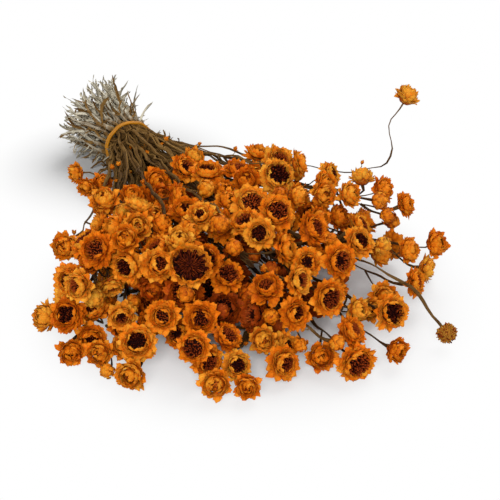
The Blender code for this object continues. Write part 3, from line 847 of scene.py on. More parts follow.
# Discs: (how many florets, radius of the disc, height of its middle, height of its rim).
DISCS = {"open": (76, 0.58, 0.26, 0.15), "half": (16, 0.28, 0.06, 0.12),
         "giant": (44, 0.76, -0.02, 0.02), "whip": (16, 0.28, 0.06, 0.12)}
HEAP = np.array([-0.008, -0.10])  # the middle of the heap on the table
# Painted shade: flowers low in the middle of the heap are coloured darker, for the shade of the
# flowers above them.
HEAP_SHADE_WITHIN = 0.085  # of that middle, flowers lie in the shade of others
HEAP_SHADE_BELOW, HEAP_SHADE_FADE = 0.055, 0.03  # height where that begins, and over which it grows
EARLY_FULLNESS = 1.3  # how much fuller the small cluster beside the band is
CORE_SHADE, CUSHION_SHADE, SPENT_SHADE = 0.25, 0.0, 0.9  # of the solid hearts under the forms
STRANDS = 190  # in the disc of the giant head
SPENT_FLORETS = 180  # all over the spent head
FLORET_CRINKLE = 0.0003  # how uneven the florets are
HEAD_CRINKLE_SCALE = 420.0  # of that noise and of the bracts', per metre
GOLDEN = math.radians(137.508)


def add_row(places, frame_of, radius, row, rng, dye_tone_and_shade):
    """One row of bracts round a head."""
    centre, ahead, one, two = frame_of
    count, out, forward, lean, length, width, curl = row
    start = rng.uniform(0, 2 * math.pi)
    for k in range(count):
        turn = start + 2 * math.pi * (k + rng.uniform(-0.22, 0.22)) / count
        outward = one * math.cos(turn) + two * math.sin(turn)
        sideways = two * math.cos(turn) - one * math.sin(turn)
        angle = math.radians(lean + rng.normal(0, 8))
        along = math.cos(angle) * ahead + math.sin(angle) * outward
        face = math.sin(angle) * ahead - math.cos(angle) * outward
        along = unit(along + rng.normal(0, 0.12) * sideways)
        face = face + rng.normal(0, 0.16) * sideways
        foot = centre + radius * (out * outward + forward * ahead)
        long = radius * length * rng.uniform(0.84, 1.14)
        wide = radius * width * rng.uniform(0.85, 1.15)
        if curl == "scale":
            form = FORMS["scale"] + int(rng.integers(len(SCALE_TIPS)))
        else:
            bent = int(np.clip(curl + rng.choice((-1, 0, 0, 0, 1)), 0, len(CURLS) - 1))
            form = FORMS["bract"] + bent * len(TORN_TIPS) + int(rng.integers(len(TORN_TIPS)))
        # Below 0 the shade is painted shade, for flowers deep in the heap.
        shade = np.clip(dye_tone_and_shade + rng.normal(0, 0.13), -0.6, 1)
        places.put(form, foot, along, face, (wide, long, long), shade)


def dress_head(bracts, florets, head, rng, settings):
    """Adds the bracts and the florets of one flower head."""
    neck, flower, radius, kind = head
    radius *= settings.fullness * (EARLY_FULLNESS if kind == "early" else 1.0)
    # Painted shade for a head low in the middle of the heap, taken off its random dye tone.
    heap_shade = np.clip((HEAP_SHADE_BELOW - flower[2]) / HEAP_SHADE_FADE, 0, 1)
    heap_shade *= float(np.hypot(*(flower[:2] - HEAP)) < HEAP_SHADE_WITHIN)
    ahead = unit(flower - neck)
    one, two = side_ways(ahead, rng)
    frame_of = (flower, ahead, one, two)
    dye_tone_and_shade = rng.uniform(0.15, 0.90) - settings.heap_shade_strength * heap_shade
    forward, wide, high = CORES[kind]
    core = (flower + forward * radius * ahead, one, ahead)
    size = (radius * wide, radius * wide, radius * high)
    if kind == "spent":
        florets.put(FORMS["core"], *core, size, SPENT_SHADE)
        add_ball(florets, frame_of, radius, rng)
        return
    bracts.put(FORMS["core"], *core, size, CORE_SHADE)
    shut = rng.uniform(-0.12, settings.shut_share) if kind == "open" else 0.0
    rows = ROWS[kind]
    for number, (count, out, forward, lean, *rest) in enumerate(rows):
        drawn = shut * (1 - number / len(rows))
        row = (count, out * (1 - drawn), forward + 0.3 * drawn, lean - 34 * drawn, *rest)
        add_row(bracts, frame_of, radius, row, rng, dye_tone_and_shade)
    if kind in DISCS:
        add_disc(florets, frame_of, radius, kind, 1 - shut, rng, settings)


def add_disc(florets, frame_of, radius, kind, opening, rng, settings):
    """The disc of a head: florets in a spiral on a cushion, open outside and shut inside."""
    centre, ahead, one, two = frame_of
    count, across, middle, rim = DISCS[kind]
    across *= opening
    hollow = kind == "open" and rng.random() < settings.hollow_share
    if hollow:
        middle = 0.0
    florets.put(FORMS["core"], centre + radius * (min(middle, rim) - 0.12) * ahead, one, ahead,
                (radius * across * 0.98, radius * across * 0.98, radius * 0.10), CUSHION_SHADE)
    ripe = rng.choice((0.25, 0.8, 1.15)) + rng.uniform(-0.12, 0.12)
    for k in range(count):
        share = math.sqrt((k + 0.5) / count)
        turn = k * GOLDEN + rng.normal(0, 0.12)
        outward = one * math.cos(turn) + two * math.sin(turn)
        height = middle + (rim - middle) * share**2
        foot = centre + radius * (across * share * 0.94 * outward + (height - 0.08) * ahead)
        lean = unit(ahead + 0.75 * share**2 * outward + rng.normal(0, 0.16, 3))
        thick = radius * across * 1.9 / math.sqrt(count) * rng.uniform(0.85, 1.15)
        tall = radius * 0.19 * rng.uniform(0.75, 1.25)
        shade = np.clip(0.05 + 0.15 * ripe + 0.21 * ripe * share + rng.normal(0, 0.07), 0, 0.48)
        if kind == "giant":
            shade *= 0.22
        # Painted shade: the florets in a sunken disc's middle are coloured black, for the shade of
        # the hollow.
        if hollow and share < 0.40:
            shade = 0.0
        florets.put(FORMS["floret"], foot, side_ways(lean, rng)[0], lean,
                    (thick, thick, tall), shade)
    if kind == "giant":
        for k in range(STRANDS):
            turn = k * GOLDEN
            outward = one * math.cos(turn) + two * math.sin(turn)
            start = across * rng.uniform(0.0, 0.66)
            foot = centre + radius * (start * outward + 0.02 * ahead)
            long = radius * rng.uniform(0.20, 0.36)
            along = outward + rng.uniform(0.10, 0.8) * ahead + rng.normal(0, 0.10, 3)
            florets.put(FORMS["strand"], foot, along, ahead, (radius * 0.017, long, long * 0.3),
                        rng.uniform(0.02, 0.46))


def add_ball(florets, frame_of, radius, rng):
    """A spent head: a ball of dry florets."""
    centre, ahead, one, two = frame_of
    for k in range(SPENT_FLORETS):
        height = 1 - 1.9 * (k + 0.5) / SPENT_FLORETS
        turn = k * GOLDEN
        flat = math.sqrt(max(1 - height * height, 0))
        out = height * ahead + flat * (one * math.cos(turn) + two * math.sin(turn))
        lean = unit(out + rng.normal(0, 0.4, 3))
        thick = radius * rng.uniform(0.12, 0.26)
        shade = 0.15 if height > 0.90 else rng.choice((0.30, 0.60, 0.85, 1.0))
        florets.put(FORMS["floret"], centre + radius * 0.74 * out, side_ways(lean, rng)[0], lean,
                    (thick, thick, radius * rng.uniform(0.14, 0.34)), shade)


# ---- Stalks and leaves ---------------------------------------------------------------------


BAND_HALF = 0.004  # the band reaches this far to each side of its middle
WOOL_FADE = 0.035  # the wool on a stalk is full this far behind the band
# Painted shade: stalks and leaves low inside the heap are coloured darker.
STALK_SHADE_FROM, STALK_SHADE_OVER = 0.07, 0.05  # stalks get darker this far past the band, over this way
STALK_SHADE_BELOW, STALK_SHADE_FADE = 0.075, 0.03  # and below this height, over this much of it
UNDER_HEAD = 0.45  # a stalk ends this share of its head's radius short of the head's middle
TWIST = 60  # radians that a winged stalk may turn in a metre
STEM_WANDER, SHOOT_WANDER = 0.0015, 0.0005  # how far stalks stray from their smooth way
WANDER_WAVES = (60, 260)  # of that straying, in radians a metre
SHOOT_FOOT = 0.024  # behind the band, where the low shoots start
SHOOT_LOWEST = 0.0012  # height that they keep above the table
SHOOT_INSIDE = 0.0004  # how far they keep inside the bundle's edge in the band
SHOOT_FREE = (0.009, 0.6)  # how far from the band they begin to spread, and by what slope
SHOOT_SAG = 0.06  # a share of a shoot's length
STALK_CORNERS = 6  # round a stalk's section
STEM_GIRTHS, SHOOT_GIRTHS = (0.82, 1.12), (0.85, 1.15)  # from the slimmest to the stoutest
STEM_FLARE, SHOOT_FLARE = (1.3, 1.8), (1.25, 1.7)  # how a stalk widens into its head
ANY_TURN = 6.3  # radians, for a turn or a phase by chance
STALK_SEED, HEAD_SEED, BUD_SEED = 1000, 2000, 3000  # of the first stem, one more for each next
STALK_NOISE, LEAF_NOISE, HEAD_NOISE = 1.7, 2.3, 1.3  # from the noise of one stem to the next


def seeded(seed, number):
    """The random draws of one stem for one purpose, the same in every piece."""
    return np.random.default_rng(seed + number)


class Lines:
    """The lines that one piece's stalks follow, with what each point carries."""

    def __init__(self):
        self.places, self.edges, self.marks = [], [], []

    def add(self, places, girth, turn, shade, wool, run):
        start = len(self.places)
        self.places += list(places)
        self.edges += [(start + k, start + k + 1) for k in range(len(places) - 1)]
        ones = np.ones(len(places))
        self.marks += list(zip(girth * ones, turn * ones, shade * ones, wool * ones, run * ones))

    def mesh(self, name):
        columns = zip(("girth", "turn", "shade", "wool", "run"), np.array(self.marks, float).T)
        return marked_mesh(name, self.places, self.edges, [], dict(columns))


def wander(count, spacing, size, rng):
    """A smooth sideways drift for the points of a line, nothing at its two ends."""
    at = np.arange(count) * spacing
    drift = sum(np.sin(at[:, None] * rng.uniform(*WANDER_WAVES, 3) + rng.uniform(0, ANY_TURN, 3))
                for _ in range(2))
    fade = np.minimum(1, np.minimum(np.arange(count), np.arange(count)[::-1]) / 4)
    return size * drift * fade[:, None] / 2


def painted_stalk_shade(way, plan):
    """Painted shade on the stalks, low inside the heap, from 0 to 1."""
    far = np.clip((plan["tie"][1] - way[:, 1] - STALK_SHADE_FROM) / STALK_SHADE_OVER, 0, 1)
    return far * np.clip((STALK_SHADE_BELOW - way[:, 2]) / STALK_SHADE_FADE, 0, 1)


def woolly(way, plan):
    """How woolly the stalks are, from 0 at the band to 1 behind it."""
    return np.clip((way[:, 1] - plan["tie"][1] - BAND_HALF) / WOOL_FADE, 0, 1)


def lay_stem(lines, plan, number, rng, sizes):
    """The stem itself, from its cut end to the underside of its flower."""
    stem = plan["stems"][number]
    radius, kind = plan["flowers"][stem[-1]]
    points = list(plan["points"][stem])
    ahead = unit(points[-1] - points[-2])
    points[-1] = points[-1] - UNDER_HEAD * radius * ahead
    way, at = smooth_way(points, sizes.step)
    tie = plan["tie"][1]
    past = np.clip((tie - way[:, 1]) / (tie - way[-1, 1] + 1e-9), 0, 1)
    slim, power = (0.80, 0.45) if kind == "whip" else (1.0, 0.8)
    girth = sizes.tied_radius + (sizes.tip_radius * slim - sizes.tied_radius) * past**power
    girth = girth * rng.uniform(*STEM_GIRTHS)
    girth[-2:] *= STEM_FLARE
    way = way + wander(len(way), sizes.step, STEM_WANDER, rng)
    way[:, 2] = np.maximum(way[:, 2], girth)
    turn = rng.uniform(0, ANY_TURN) + at * rng.uniform(-TWIST, TWIST) + 0.9 * np.sin(at * 60)
    lines.add(way, girth, turn, rng.random() - painted_stalk_shade(way, plan), woolly(way, plan), at)
    return way


def beside(way, plan, fork, rng, sizes):
    """A way beside a stem, winding round it from behind the band to a fork, and inside the band."""
    tie = plan["tie"]
    first = int(np.argmin(np.abs(way[:, 1] - tie[1] - SHOOT_FOOT)))
    last = int(np.argmin(np.linalg.norm(way - fork, axis=1)))
    if last < first + 6:
        return []
    own = way[first:last:2]
    nth = np.arange(len(own))
    turn = rng.uniform(0, ANY_TURN) + nth * rng.uniform(-0.55, 0.55)
    grown = np.clip(nth / 3, 0, 1) * np.clip(nth[::-1] / 4, 0.2, 1)
    room = sizes.beside * grown * rng.uniform(0.8, 1.3)
    places = own + np.stack([room * np.cos(turn), 0 * turn, room * np.sin(turn)], 1)
    off = places - tie
    reach = np.hypot(off[:, 0], off[:, 2])
    clear, spread = SHOOT_FREE
    limit = BUNDLE_RADIUS - SHOOT_INSIDE + spread * np.maximum(0, np.abs(off[:, 1]) - clear)
    near = np.minimum(1, limit / np.maximum(reach, 1e-9))
    places[:, 0] = tie[0] + off[:, 0] * near
    places[:, 2] = np.maximum(tie[2] + off[:, 2] * near, SHOOT_LOWEST)
    return list(places)


def lay_shoots(lines, way, plan, number, rng, sizes):
    """The side shoots of a stem. The first one runs beside it all the way from its foot."""
    lower = True
    for owner, (fork, neck, flower) in plan["shoots"]:
        if owner != number:
            continue
        start, middle, end = plan["points"][[fork, neck, flower]]
        radius, _ = plan["flowers"][flower]
        end = end - UNDER_HEAD * radius * unit(end - middle)
        sag = np.array([0, 0, -SHOOT_SAG * np.linalg.norm(middle - start)])
        foot = beside(way, plan, start, rng, sizes) if lower else []
        lower = False
        through = foot + [start, (start + middle) / 2 + sag, middle, end]
        line, at = smooth_way(through, sizes.step * (1.0 if foot else 0.8))
        girth = np.linspace(1.7 if foot else 1.1, 1.0, len(line)) * sizes.shoot_radius
        girth = girth * rng.uniform(*SHOOT_GIRTHS)
        girth[-2:] *= SHOOT_FLARE
        line = line + wander(len(line), sizes.step, SHOOT_WANDER, rng)
        line[:, 2] = np.maximum(line[:, 2], girth)
        turn = rng.uniform(0, ANY_TURN) + at * rng.uniform(-TWIST, TWIST)
        lines.add(line, girth, turn, rng.random() - painted_stalk_shade(line, plan), woolly(line, plan), at)


# Leaves: (shortest and longest, how far they spread from their stem, how much they stray).
LONG_LEAVES = ((0.016, 0.038), 0.16, 0.11)
SHORT_LEAVES = ((0.006, 0.018), 0.5, 0.50)
LONG_SHARE = 0.35  # of the leaves
LEAF_WIDTHS = (0.0008, 0.0026)
LEAF_CRINKLE_SCALE = 260.0  # of the noise that crumples them, per metre
SHORTEST_LEAF = 0.006  # that is still drawn where the cut ends leave little room
PAST_BAND = 0.050  # dried-up leaves lie up to this far past the band
DRIED_LONGEST, DRIED_SPREAD = 0.016, 0.2  # their length, and their spread as a share
# The leaves in the heap are wide and dark: dry leaves, and also dark filler for the shaded gaps
# between the flowers.
HEAP_LEAVES, HEAP_WIDER = (0.014, 0.030), 2.4  # lengths in the heap, and how much wider they are
HEAP_CORE, HEAP_LOW = 0.075, 0.045  # they lie this far round its middle, and below this height


def add_leaves(leaves, way, plan, rng, settings):
    """Narrow woolly leaves round the foot of a stem, dry ones near the band and in the heap."""
    tie = plan["tie"]
    limit = way[0, 1] + settings.overhang
    behind = np.flatnonzero(way[:, 1] > tie[1] + BAND_HALF)
    past = np.flatnonzero((way[:, 1] < tie[1] - BAND_HALF) & (way[:, 1] > tie[1] - PAST_BAND))
    aside = np.linalg.norm(way[:, :2] - HEAP, axis=1)
    inside = np.flatnonzero((aside < HEAP_CORE) & (way[:, 2] < HEAP_LOW))
    enough = len(inside) > 4
    for spots, count, backward in ((behind, settings.per_stem, 1.0), (past, settings.past, -1.0),
                                   (inside, settings.inside * enough, -1.0)):
        for _ in range(int(round(count * rng.uniform(0.75, 1.25)))):
            spot = int(rng.choice(spots[:-1]))
            place = way[spot]
            on = unit(way[spot] - way[spot + 1])
            away = unit((place - tie) * (1, 0, 1) + rng.normal(0, 0.004, 3))
            lengths, spread, stray = LONG_LEAVES if rng.random() < LONG_SHARE else SHORT_LEAVES
            long, spread = rng.uniform(*lengths), rng.uniform(0, spread)
            if backward < 0:  # dried up, and pressed against the stems
                long, spread = min(long, DRIED_LONGEST), DRIED_SPREAD * spread
            along = unit(backward * on + spread * away + rng.normal(0, stray, 3))
            if along[1] > 0:
                long = min(long, max(SHORTEST_LEAF, (limit - place[1]) / along[1]))
            if place[2] + long * along[2] < 0.001:
                along = unit(along * (1, 1, 0) + (0, 0, 0.02))
            wide = rng.uniform(*LEAF_WIDTHS) / LEAF_WIDTH
            wool = np.clip((place[1] - tie[1] + rng.normal(-0.014, 0.030)) / 0.03, 0, 1)
            form = FORMS["leaf"] + int(rng.integers(len(LEAF_BENDS)))
            # Wide dark filler for the heap's shaded gaps.
            if spots is inside:
                wide, long = HEAP_WIDER * wide, rng.uniform(*HEAP_LEAVES)
            leaves.put(form, place, along, away + rng.normal(0, 0.6, 3), (wide, long, long),
                       rng.random() - float(painted_stalk_shade(place[None], plan)[0]), wool)


BUD_ROWS = ((4, 0.25, 0.20, -12, 0.9, 0.60, "scale"), (5, 0.42, -0.1, 16, 1.0, 0.66, 0),
            (5, 0.36, -0.4, 44, 0.9, 0.60, 1))  # of a tiny bud, as in ROWS
BUD_RADII = (0.0022, 0.0036)
BUD_STALKS, BUD_GIRTH = (0.006, 0.012), 0.00045  # length and half width of their stalks
NEAR_BUDS = (0.022, 0.075)  # distances past the band of the first ones
FAR_BUDS = 0.12  # distance past the band from which the others may grow


def add_small_buds(lines, bracts, way, plan, rng, settings):
    """The tiny shut buds in the axils of a stem, on short stalks of their own."""
    tie = plan["tie"][1]
    past = tie - way[:, 1]
    near = np.flatnonzero((past > NEAR_BUDS[0]) & (past < NEAR_BUDS[1]))
    far = np.flatnonzero(past > FAR_BUDS)[:-3]
    spots = []
    for share, choice in ((settings.near_share, near), (settings.far_share, far)):
        if rng.random() < share and len(choice):
            spots.append(choice[rng.integers(len(choice))])
    for spot in spots:
        on = unit(way[min(spot + 1, len(way) - 1)] - way[spot - 1])
        out = unit(rng.normal(0, 1, 3) * (1, 0.4, 0.4) + (0, 0, 0.9))
        ahead = unit(0.6 * on + out)
        radius = rng.uniform(*BUD_RADII)
        flower = way[spot] + rng.uniform(*BUD_STALKS) * ahead
        flower[2] = max(flower[2], radius)
        middle = (way[spot] + flower) / 2 + 0.0015 * on
        stalk, at = smooth_way([way[spot], middle, flower - 0.6 * radius * ahead], 0.002)
        lines.add(stalk, BUD_GIRTH, 0.0, rng.random(), 0.0, at)
        one, two = side_ways(ahead, rng)
        bracts.put(FORMS["core"], flower, one, ahead,
                   (radius * 0.5, radius * 0.5, radius * 0.6), 0.3)
        for row in BUD_ROWS:
            add_row(bracts, (flower, ahead, one, two), radius, row, rng, rng.uniform(0.2, 0.8))


# ---- Finishes ------------------------------------------------------------------------------


def new_shader_group(name, inputs, outputs):
    """A shader node group of plain numbers: inputs are (name, value), outputs are names."""
    tree = bpy.data.node_groups.new(name, "ShaderNodeTree")
    for label, value in inputs:
        socket = tree.interface.new_socket(label, in_out="INPUT", socket_type="NodeSocketFloat")
        socket.default_value = value
    for label in outputs:
        tree.interface.new_socket(label, in_out="OUTPUT", socket_type="NodeSocketFloat")
    return tree, tree.nodes.new("NodeGroupInput").outputs, tree.nodes.new("NodeGroupOutput").inputs


def contrasted(tree, noise, contrast):
    """A noise with its contrast raised about its middle, kept between 0 and 1."""
    spread = calc(tree, "MULTIPLY", calc(tree, "SUBTRACT", noise, 0.5), contrast)
    return add_node(tree, "ShaderNodeMath", {0: spread, 1: 0.5}, operation="ADD",
                    use_clamp=True).outputs[0]


def streak_group():
    """Fine fibres that run lengthwise: pale and dark lines, from 0 to 1."""
    tree, given, out = new_shader_group(
        "fibre streaks", (("Lane", 0), ("Run", 0), ("Seed", 0), ("Fineness", 6), ("Stretch", 2),
                          ("Contrast", 1.6)), ("Streaks",))
    vector = add_node(tree, "ShaderNodeCombineXYZ",
                      {0: calc(tree, "MULTIPLY", given["Lane"], given["Fineness"]),
                       1: calc(tree, "MULTIPLY", given["Run"], given["Stretch"]),
                       2: calc(tree, "MULTIPLY", given["Seed"], 53.0)}).outputs[0]
    noise = add_node(tree, "ShaderNodeTexNoise", {"Vector": vector, "Scale": 1.0, "Detail": 3.0,
                                                  "Roughness": 0.6}).outputs["Fac"]
    tree.links.new(contrasted(tree, noise, given["Contrast"]), out[0])
    return tree


def mottle_group():
    """Uneven patches, coarse and fine, from 0 to 1."""
    tree, given, out = new_shader_group(
        "mottle", (("Scale", 400), ("Contrast", 1.6)), ("Patches", "Grain"))
    place = add_node(tree, "ShaderNodeTexCoord").outputs["Object"]
    for socket, factor, detail in ((0, 1.0, 2.0), (1, 6.0, 1.0)):
        noise = add_node(tree, "ShaderNodeTexNoise",
                         {"Vector": place, "Scale": calc(tree, "MULTIPLY", given["Scale"], factor),
                          "Detail": detail}).outputs["Fac"]
        tree.links.new(contrasted(tree, noise, given["Contrast"]), out[socket])
    return tree


def margin_group():
    """Where a blade's margins and tip are, from 0 inside to 1 at its edge."""
    tree, given, out = new_shader_group(
        "margins", (("Lane", 0), ("Run", 0), ("Sharpness", 4), ("Tip", 8)), ("Margin",))
    side = calc(tree, "POWER", calc(tree, "ABSOLUTE", given["Lane"]), given["Sharpness"])
    tip = calc(tree, "POWER", calc(tree, "MAXIMUM", given["Run"], 0.0), given["Tip"])
    done = add_node(tree, "ShaderNodeMath", {0: side, 1: tip}, operation="MAXIMUM",
                    use_clamp=True)
    tree.links.new(done.outputs[0], out[0])
    return tree


EFFECTS = {"streaks": streak_group, "mottle": mottle_group, "margins": margin_group}
GROUPS = {}  # the effects that have been made


def effect(tree, name, **inputs):
    """Places one of the shared effects in a material, and returns its outputs."""
    if name not in GROUPS:
        GROUPS[name] = EFFECTS[name]()
    return add_node(tree, "ShaderNodeGroup", inputs, node_tree=GROUPS[name]).outputs


def stored(tree, name):
    return add_node(tree, "ShaderNodeAttribute", attribute_name=name).outputs["Fac"]


def blend_numbers(tree, *terms):
    """The sum of numbers, each times its weight, kept between 0 and 1."""
    total = 0.0
    for value, weight in terms:
        total = calc(tree, "MULTIPLY_ADD", value, weight, total)
    return add_node(tree, "ShaderNodeClamp", {0: total}).outputs[0]


def ramp(tree, value, *stops):
    """A colour for each value: stops are (value, colour)."""
    node = add_node(tree, "ShaderNodeValToRGB", {0: value})
    elements = node.color_ramp.elements
    while len(elements) < len(stops):
        elements.new(0.5)
    for element, (position, colour) in zip(elements, stops):
        element.position = position
        element.color = (*colour[:3], 1.0)
    return node.outputs["Color"]


def mix_colours(tree, amount, first, second):
    """Goes from the first colour to the second one. Each is an output or plain numbers."""
    first, second = (colour if isinstance(colour, bpy.types.NodeSocket) else (*colour[:3], 1.0)
                     for colour in (first, second))
    return add_node(tree, "ShaderNodeMix", {0: amount, 6: first, 7: second},
                    data_type="RGBA").outputs[2]


def finish_material(tree, colour, roughness, height, bump, depth, **plain):
    """Joins colour, roughness and relief to the shader; the plain values are set on it."""
    shader = tree.nodes["Principled BSDF"]
    relief = add_node(tree, "ShaderNodeBump", {"Strength": bump, "Distance": depth,
                                               "Height": height})
    tree.links.new(colour, shader.inputs["Base Color"])
    tree.links.new(roughness, shader.inputs["Roughness"])
    tree.links.new(relief.outputs[0], shader.inputs["Normal"])
    for label, value in plain.items():
        shader.inputs[label.replace("_", " ")].default_value = value


def new_material(name):
    material = bpy.data.materials.new(name)
    material.use_nodes = True
    return material, material.node_tree


def dyed_flower_material(colours):
    """Dyed papery bracts: amber where they are fresh, deep orange below, red-brown at the edges."""
    material, tree = new_material("dyed_flower")
    lane, run, shade = (stored(tree, label) for label in ("lane", "run", "shade"))
    streaks = effect(tree, "streaks", Lane=lane, Run=run, Seed=shade, Fineness=6.5,
                     Stretch=2.0, Contrast=2.0)["Streaks"]
    mottle = effect(tree, "mottle", Scale=330.0)
    # The run makes each bract darker at its foot and paler at its tip: partly its own tone, partly
    # painted shade where the bracts overlap.
    tone = blend_numbers(tree, (shade, 0.75), (mottle["Patches"], 0.34), (streaks, 0.44),
                         (run, 0.16), (1.0, -0.36))
    colour = ramp(tree, tone, (0.0, colours.dye_deep_and_shade), (0.45, colours.dye), (1.0, colours.dye_pale))
    margin = effect(tree, "margins", Lane=lane, Run=run, Sharpness=5.0, Tip=9.0)["Margin"]
    patchy = blend_numbers(tree, (mottle["Patches"], 1.2), (1.0, -0.1))
    worn = calc(tree, "MULTIPLY", margin, patchy)
    colour = mix_colours(tree, calc(tree, "MULTIPLY", worn, 0.75), colour, colours.dye_edge)
    # Painted shade: the feet of the bracts, where their neighbours cover them, go towards the
    # painted shade colour.
    foot = calc(tree, "POWER", calc(tree, "SUBTRACT", 1.0, run), 2.3)
    # Painted shade for the flowers deep in the heap, whose shade is below 0.
    heap_shade = calc(tree, "MAXIMUM", calc(tree, "MULTIPLY", shade, -1.1), 0.0)
    shut = calc(tree, "MAXIMUM", calc(tree, "MULTIPLY", foot, 0.82), heap_shade)
    colour = mix_colours(tree, shut, colour, colours.painted_shade_dye)
    rough = blend_numbers(tree, (streaks, 0.25), (mottle["Grain"], 0.15), (1.0, 0.42))
    height = blend_numbers(tree, (streaks, 0.7), (mottle["Grain"], 0.3))
    finish_material(tree, colour, rough, height, 0.8, 0.0004,
                    Specular_IOR_Level=0.12, Subsurface_Weight=0.15,
                    Subsurface_Radius=(1.0, 0.45, 0.1), Subsurface_Scale=0.0008)
    return material


def seed_disc_material(colours):
    """Dry florets: nearly black where they are shut, red-brown where open, ochre when spent."""
    material, tree = new_material("seed_disc")
    run, shade = (stored(tree, label) for label in ("run", "shade"))
    mottle = effect(tree, "mottle", Scale=900.0)
    tone = blend_numbers(tree, (shade, 1.0), (run, 0.24), (mottle["Patches"], 0.14),
                         (mottle["Grain"], 0.08), (1.0, -0.20))
    colour = ramp(tree, tone, (0.0, (0.008, 0.002, 0.002)), (0.22, colours.disc_dark),
                  (0.50, colours.disc_light), (0.72, (0.42, 0.15, 0.02)), (1.0, colours.spent))
    rough = blend_numbers(tree, (mottle["Patches"], 0.25), (1.0, 0.55))
    finish_material(tree, colour, rough, mottle["Grain"], 0.5, 0.0002,
                    Specular_IOR_Level=0.04)
    return material


def dried_stem_material(colours):
    """Winged stalks and leaves: brown and fibrous, and grey with wool at their feet."""
    material, tree = new_material("dried_stem")
    lane, run, shade, wool = (stored(tree, label) for label in ("lane", "run", "shade", "wool"))
    streaks = effect(tree, "streaks", Lane=lane, Run=run, Seed=shade, Fineness=4.0,
                     Stretch=18.0, Contrast=2.2)["Streaks"]
    mottle = effect(tree, "mottle", Scale=160.0, Contrast=2.0)
    # The shade carries random tone and, low inside the heap, painted shade.
    tone = blend_numbers(tree, (streaks, 0.55), (mottle["Patches"], 0.35), (shade, 0.45),
                         (1.0, -0.18))
    brown = ramp(tree, tone, (0.0, colours.stem_dark), (0.48, colours.stem),
                 (1.0, colours.stem_pale))
    felt_tone = blend_numbers(tree, (streaks, 0.38), (mottle["Patches"], 0.30),
                              (mottle["Grain"], 0.20), (shade, 0.55), (1.0, -0.24))
    felt = ramp(tree, felt_tone, (0.0, colours.wool_dark), (0.6, colours.wool),
                (1.0, tuple(min(1.0, 1.35 * c) for c in colours.wool)))
    cover = blend_numbers(tree, (wool, 1.7), (mottle["Patches"], 0.7), (1.0, -0.70))
    colour = mix_colours(tree, cover, brown, felt)
    margin = effect(tree, "margins", Lane=lane, Run=0.0, Sharpness=6.0)["Margin"]
    colour = mix_colours(tree, calc(tree, "MULTIPLY", margin, 0.35), colour, colours.stem_pale)
    rough = blend_numbers(tree, (streaks, 0.2), (wool, 0.15), (1.0, 0.60))
    height = blend_numbers(tree, (streaks, 0.6), (mottle["Grain"], 0.4))
    finish_material(tree, colour, rough, height, 0.7, 0.0004,
                    Specular_IOR_Level=0.07)
    return material


def rubber_material(colours):
    """Ochre rubber that has dried a little: fine cracks across, and a dull shine."""
    material, tree = new_material("rubber")
    lane, run = (stored(tree, label) for label in ("lane", "run"))
    cracks = effect(tree, "streaks", Lane=lane, Run=run, Seed=0.37, Fineness=1.2, Stretch=900.0,
                    Contrast=2.4)["Streaks"]
    mottle = effect(tree, "mottle", Scale=250.0, Contrast=1.6)
    tone = blend_numbers(tree, (cracks, 0.4), (mottle["Patches"], 0.6))
    colour = ramp(tree, tone, (0.0, tuple(0.62 * c for c in colours.rubber)),
                  (0.5, colours.rubber), (1.0, tuple(min(1, 1.25 * c) for c in colours.rubber)))
    rough = blend_numbers(tree, (mottle["Patches"], 0.2), (cracks, 0.1), (1.0, 0.32))
    finish_material(tree, colour, rough, cracks, 0.35, 0.0002, Specular_IOR_Level=0.3)
    return material


MATERIALS = {"dyed_flower": dyed_flower_material, "seed_disc": seed_disc_material,
             "dried_stem": dried_stem_material, "rubber": rubber_material}
FINISHES = {}  # the materials that have been made


def finish_of(slot):
    """The material of a slot, made once."""
    if slot not in FINISHES:
        FINISHES[slot] = MATERIALS[slot](bpy.context.scene.bunch_colours)
    return FINISHES[slot]


# ---- What a user can change ----------------------------------------------------------------


def length(name, description, value, **limits):
    return FloatProperty(name=name, description=description, default=value, unit="LENGTH",
                         **limits)


def share_of(name, description, value, **limits):
    return FloatProperty(name=name, description=description, default=value, subtype="FACTOR",
                         **limits)


def how_many(name, description, value):
    return IntProperty(name=name, description=description, default=value, min=0)


def colour_property(name, description, value):
    return FloatVectorProperty(name=name, description=description, default=value, size=3, min=0.0,
                               max=1.0, subtype="COLOR")


class StalkSettings(bpy.types.PropertyGroup):
    """Sizes of the winged stalks."""

    step: length("Step", "Distance between the places a stalk bends at", 0.006, min=0.002)
    tied_radius: length(
        "Radius in the band", "Half width of a stem where it is tied, without its wings", 0.0015)
    tip_radius: length("Radius at the flower", "Half width of a stem under its flower", 0.00082)
    shoot_radius: length("Shoot radius", "Half width of a side shoot", 0.00064)
    beside: length("Winding", "How far a low shoot winds from its stem", 0.0021)
    wing: share_of(
        "Wing width", "Width of the winged stalk, as a share of its radius", 1.35, min=1.0)
    thickness: share_of(
        "Thickness", "Thickness of the winged stalk, as a share of its radius", 0.60, min=0.2)
    raggedness: share_of("Raggedness", "How torn the wings are", 0.9, min=0.0)
    near_share: share_of(
        "Buds near the band", "Share of the stems with a tiny bud near the band", 0.25, max=1.0)
    far_share: share_of(
        "Buds further out", "Share of the stems with a tiny bud among the flowers", 0.6, max=1.0)


class LeafSettings(bpy.types.PropertyGroup):
    """Sizes of the leaves."""

    per_stem: how_many("Leaves at the foot", "How many leaves a stem has behind the band", 18)
    past: how_many(
        "Leaves past the band", "How many dried-up leaves a stem has just past the band", 4)
    # Dry leaves in the heap, wide and dark, which also fill its shaded gaps with dark.
    inside: how_many(
        "Leaves in the heap", "How many dry leaves a stem has among the flowers", 5)
    overhang: length("Overhang", "How far leaves may reach past the cut ends", 0.002)
    crinkle: length("Crinkle", "How crumpled the leaves are", 0.0060)


